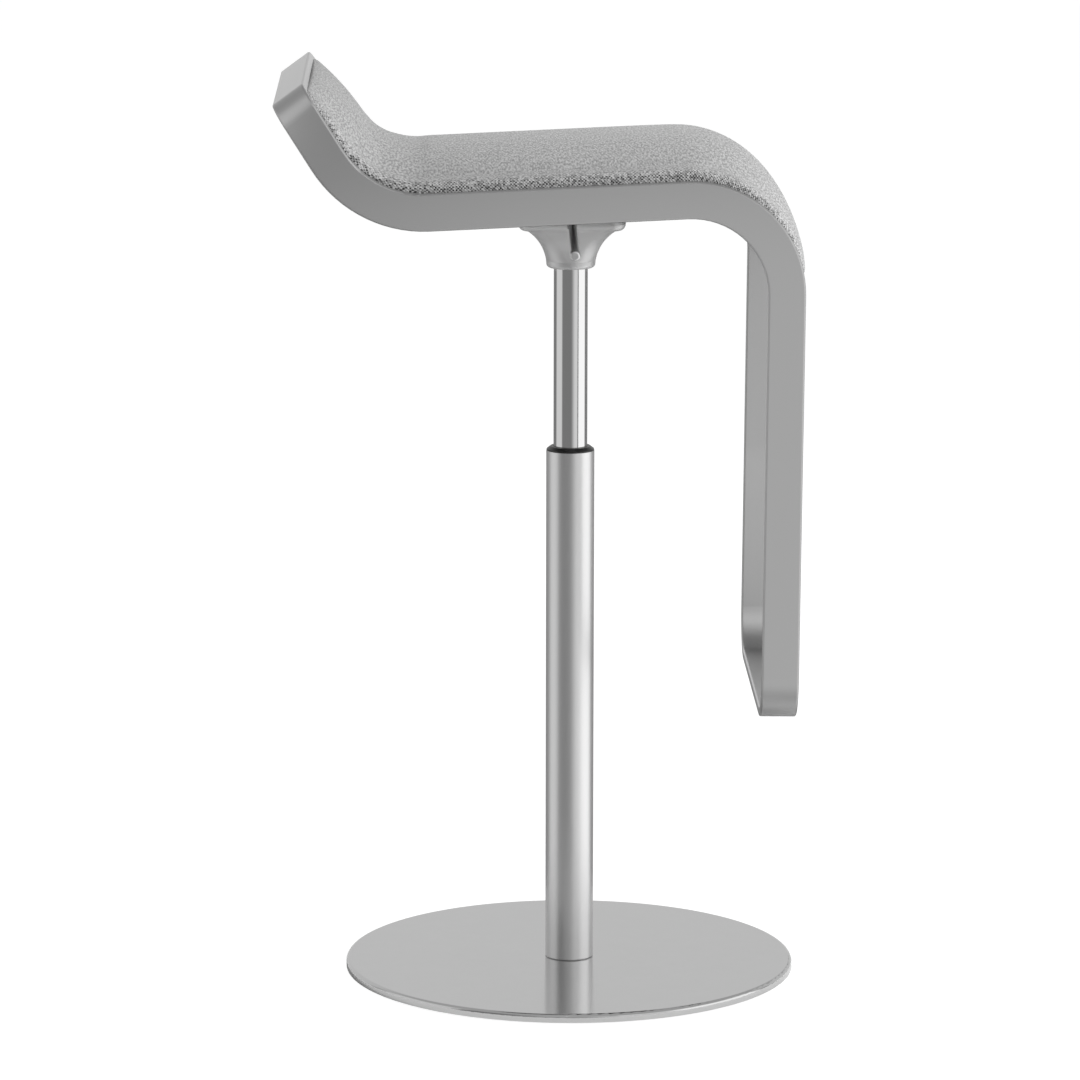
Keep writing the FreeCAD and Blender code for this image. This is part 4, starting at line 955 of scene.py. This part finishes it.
def make_world(stage):
    """White to the camera, an even light on matt surfaces, and cards in a darker room for polished ones."""
    world = bpy.data.worlds.new("studio")
    bpy.context.scene.world = world
    world.use_nodes = True
    world.cycles.sampling_method = "NONE"
    look = Look(world.node_tree)
    across, depth, height = look.split(look.node("ShaderNodeTexCoord", output="Generated"))
    bearing = across.math("ARCTAN2", across, 0 - depth) * (180 / math.pi)
    in_front = look.ease(abs(bearing), *FRONT_WALL_EDGE, 1.0, 0.0) * look.ease(height, *FRONT_WALL_FROM)
    behind = 1 - card(look, bearing, -BACKDROP_EDGE, BACKDROP_EDGE)
    behind = behind * look.ease(height, *BACKDROP_FROM)
    overhead = look.ease(height, *CEILING_FROM)
    walls = DARK_ROOM + (FRONT_WALL - DARK_ROOM) * in_front + (BACKDROP - DARK_ROOM) * behind
    for left, right, soft, bright in WALL_CARDS:
        walls = walls + (bright - DARK_ROOM) * card(look, bearing, left, right, soft)
    mirrored = walls * (1 - overhead) + overhead * CEILING
    camera, glossy = look.rays()
    strength = camera + (1 - camera) * (glossy * mirrored + (1 - glossy) * stage.room)
    background = look.tree.nodes["Background"]
    look.plug(background.inputs["Color"], (1.0, 1.0, 1.0))
    look.plug(background.inputs["Strength"], strength)


FLOOR_SIZE = 40.0
# How white the floor shows to the camera, and the share of that over its own lit colour
FLOOR_WHITE = 1.2
FLOOR_GLOW = 0.8
FLOOR_GAP = 0.3 * MM
# From the column's axis: past it polished parts see the room and not the floor
FLOOR_MIRRORED = (0.24, 0.28)


def make_floor(stage):
    """A pale floor that shows white to the camera and keeps a soft shadow."""
    shape = bmesh.new()
    bmesh.ops.create_grid(shape, x_segments=1, y_segments=1, size=FLOOR_SIZE / 2)
    mesh = bpy.data.meshes.new("floor")
    shape.to_mesh(mesh)
    shape.free()
    floor = bpy.data.objects.new("floor", mesh)
    bpy.context.scene.collection.objects.link(floor)
    matt = {"Base Color": tuple(stage.floor), "Roughness": 1.0, "Specular IOR Level": 0.0}
    look = Finish("pale_floor", matt)
    lit = Wire(look, look.shader.outputs[0])
    glow = look.node("ShaderNodeEmission", sockets={"Strength": FLOOR_WHITE})
    camera, glossy = look.rays()
    seen = look.node("ShaderNodeMixShader", sockets={0: camera * FLOOR_GLOW, 1: lit, 2: glow})
    across, depth, _ = look.split(look.place())
    away = look.ease((across * across + depth * depth) ** 0.5, *FLOOR_MIRRORED)
    clear = look.node("ShaderNodeBsdfTransparent")
    mixed = look.node("ShaderNodeMixShader", sockets={0: glossy * away, 1: seen, 2: clear})
    look.plug(look.tree.nodes["Material Output"].inputs["Surface"], mixed)
    floor.data.materials.append(look.material)
    floor.location.z = -FLOOR_GAP


# Cards that only the hoop mirrors: place, tilt about the width axis in degrees, size and brightness
HOOP_CARDS = {
    "front_card": ((0.5, -0.8, 0.36), 90, (1.2, 1.3), 0.235),
    "seat_card": ((0.05, -0.3, 0.38), 90, (0.56, 0.56), 0.25),
    "back_card": ((-0.317, -0.24, 0.79), 90, (0.16, 0.2), 0.72),
    "rear_card": ((-0.1, 1.6, 0.6), -90, (1.6, 1.2), 0.57),
    "inner_card": ((0.18, -0.12, 0.42), 90, (0.2, 0.5), 0.23),
    "loop_card": ((0.175, -0.02, 0.42), 0, (0.1, 0.22), 0.45),
    "foot_card": ((0.2, -0.5, 0.02), 180, (0.5, 0.5), 0.15),
}


def make_hoop_cards(stage):
    """Soft cards round the stool that shape the satin of the hoop and light nothing else."""
    mirrors = bpy.data.collections.new("hoop_card_mirrors")
    mirrors.objects.link(NODES["hoop_frame"])
    for name, (place, tilt, size, bright) in HOOP_CARDS.items():
        data = bpy.data.lights.new(name, "AREA")
        data.shape = "RECTANGLE"
        data.size, data.size_y = size
        data.energy = stage.hoop_cards * bright * math.pi * size[0] * size[1]
        lamp = bpy.data.objects.new(name, data)
        lamp.location = place
        lamp.rotation_euler = (math.radians(tilt), 0, 0)
        lamp.visible_camera = False
        lamp.visible_diffuse = False
        lamp.light_linking.receiver_collection = mirrors
        bpy.context.scene.collection.objects.link(lamp)


LAMP_SIZE = 1.6
LAMP_AIM = (0, 0, 0.65)
LAMPS = {
    "key": (2.1, -0.9, 1.9),
    "fill": (-2.2, -0.8, 1.7),
    "back": (0.4, 2.5, 1.2),
}


def make_lamp(name, power, place):
    """One large soft lamp that shines on the seat."""
    data = bpy.data.lights.new(name, "AREA")
    data.shape = "SQUARE"
    data.size = LAMP_SIZE
    data.energy = power
    lamp = bpy.data.objects.new(name, data)
    lamp.location = place
    aim = Vector(LAMP_AIM) - lamp.location
    lamp.rotation_euler = aim.to_track_quat("-Z", "Y").to_euler()
    lamp.visible_camera = False
    lamp.visible_glossy = False
    bpy.context.scene.collection.objects.link(lamp)


def make_camera(stage):
    """The camera at the fitted view."""
    data = bpy.data.cameras.new("camera")
    data.sensor_width = SENSOR_WIDTH
    data.lens = stage.lens
    camera = bpy.data.objects.new("camera", data)
    place = Vector((math.sin(stage.bearing), -math.cos(stage.bearing), 0)) * stage.distance
    place.z = stage.height
    look_at = (Matrix.Rotation(-stage.heading, 4, "Z") @ Matrix.Rotation(math.pi / 2 - stage.pitch, 4, "X")
               @ Matrix.Rotation(stage.roll, 4, "Z"))
    camera.matrix_world = Matrix.Translation(place) @ look_at
    bpy.context.scene.collection.objects.link(camera)
    bpy.context.scene.camera = camera


class STOOL_OT_stage(StoolOperator, bpy.types.Operator):
    """Set up the floor, the light and the camera"""
    bl_idname = "stool.stage"
    bl_label = "Stage"

    def execute(self, context):
        stage = context.scene.stool_stage
        context.scene.view_settings.view_transform = "Standard"
        make_world(stage)
        make_floor(stage)
        for name, place in LAMPS.items():
            make_lamp(name, getattr(stage, name), place)
        make_hoop_cards(stage)
        make_camera(stage)
        return {"FINISHED"}


OPERATORS = (
    STOOL_OT_base,
    STOOL_OT_column,
    STOOL_OT_bearing,
    STOOL_OT_gas_spring,
    STOOL_OT_hub,
    STOOL_OT_lever,
    STOOL_OT_hoop,
    STOOL_OT_carrier,
    STOOL_OT_pad,
    STOOL_OT_stage,
)
SETTINGS = {"stool_pad": StoolPad, "stool_finish": StoolFinish, "stool_stage": StoolStage}


class STOOL_PT_panel(bpy.types.Panel):
    """The stool's pieces and settings"""
    bl_idname = "STOOL_PT_panel"
    bl_label = "Bar stool"
    bl_space_type = "VIEW_3D"
    bl_region_type = "UI"
    bl_category = "Stool"

    def draw(self, context):
        for operator in OPERATORS:
            self.layout.operator(operator.bl_idname)
        for name, group in SETTINGS.items():
            box = self.layout.box()
            for setting in group.__annotations__:
                box.prop(getattr(context.scene, name), setting)


CLASSES = (*SETTINGS.values(), *OPERATORS, STOOL_PT_panel)


def register():
    for kind in CLASSES:
        bpy.utils.register_class(kind)
    for name, group in SETTINGS.items():
        setattr(bpy.types.Scene, name, PointerProperty(type=group))


def unregister():
    for name in SETTINGS:
        delattr(bpy.types.Scene, name)
    for kind in reversed(CLASSES):
        bpy.utils.unregister_class(kind)


def main():
    register()
    for operator in OPERATORS:
        family, name = operator.bl_idname.split(".")
        getattr(getattr(bpy.ops, family), name)()


if __name__ == "__main__":
    main()
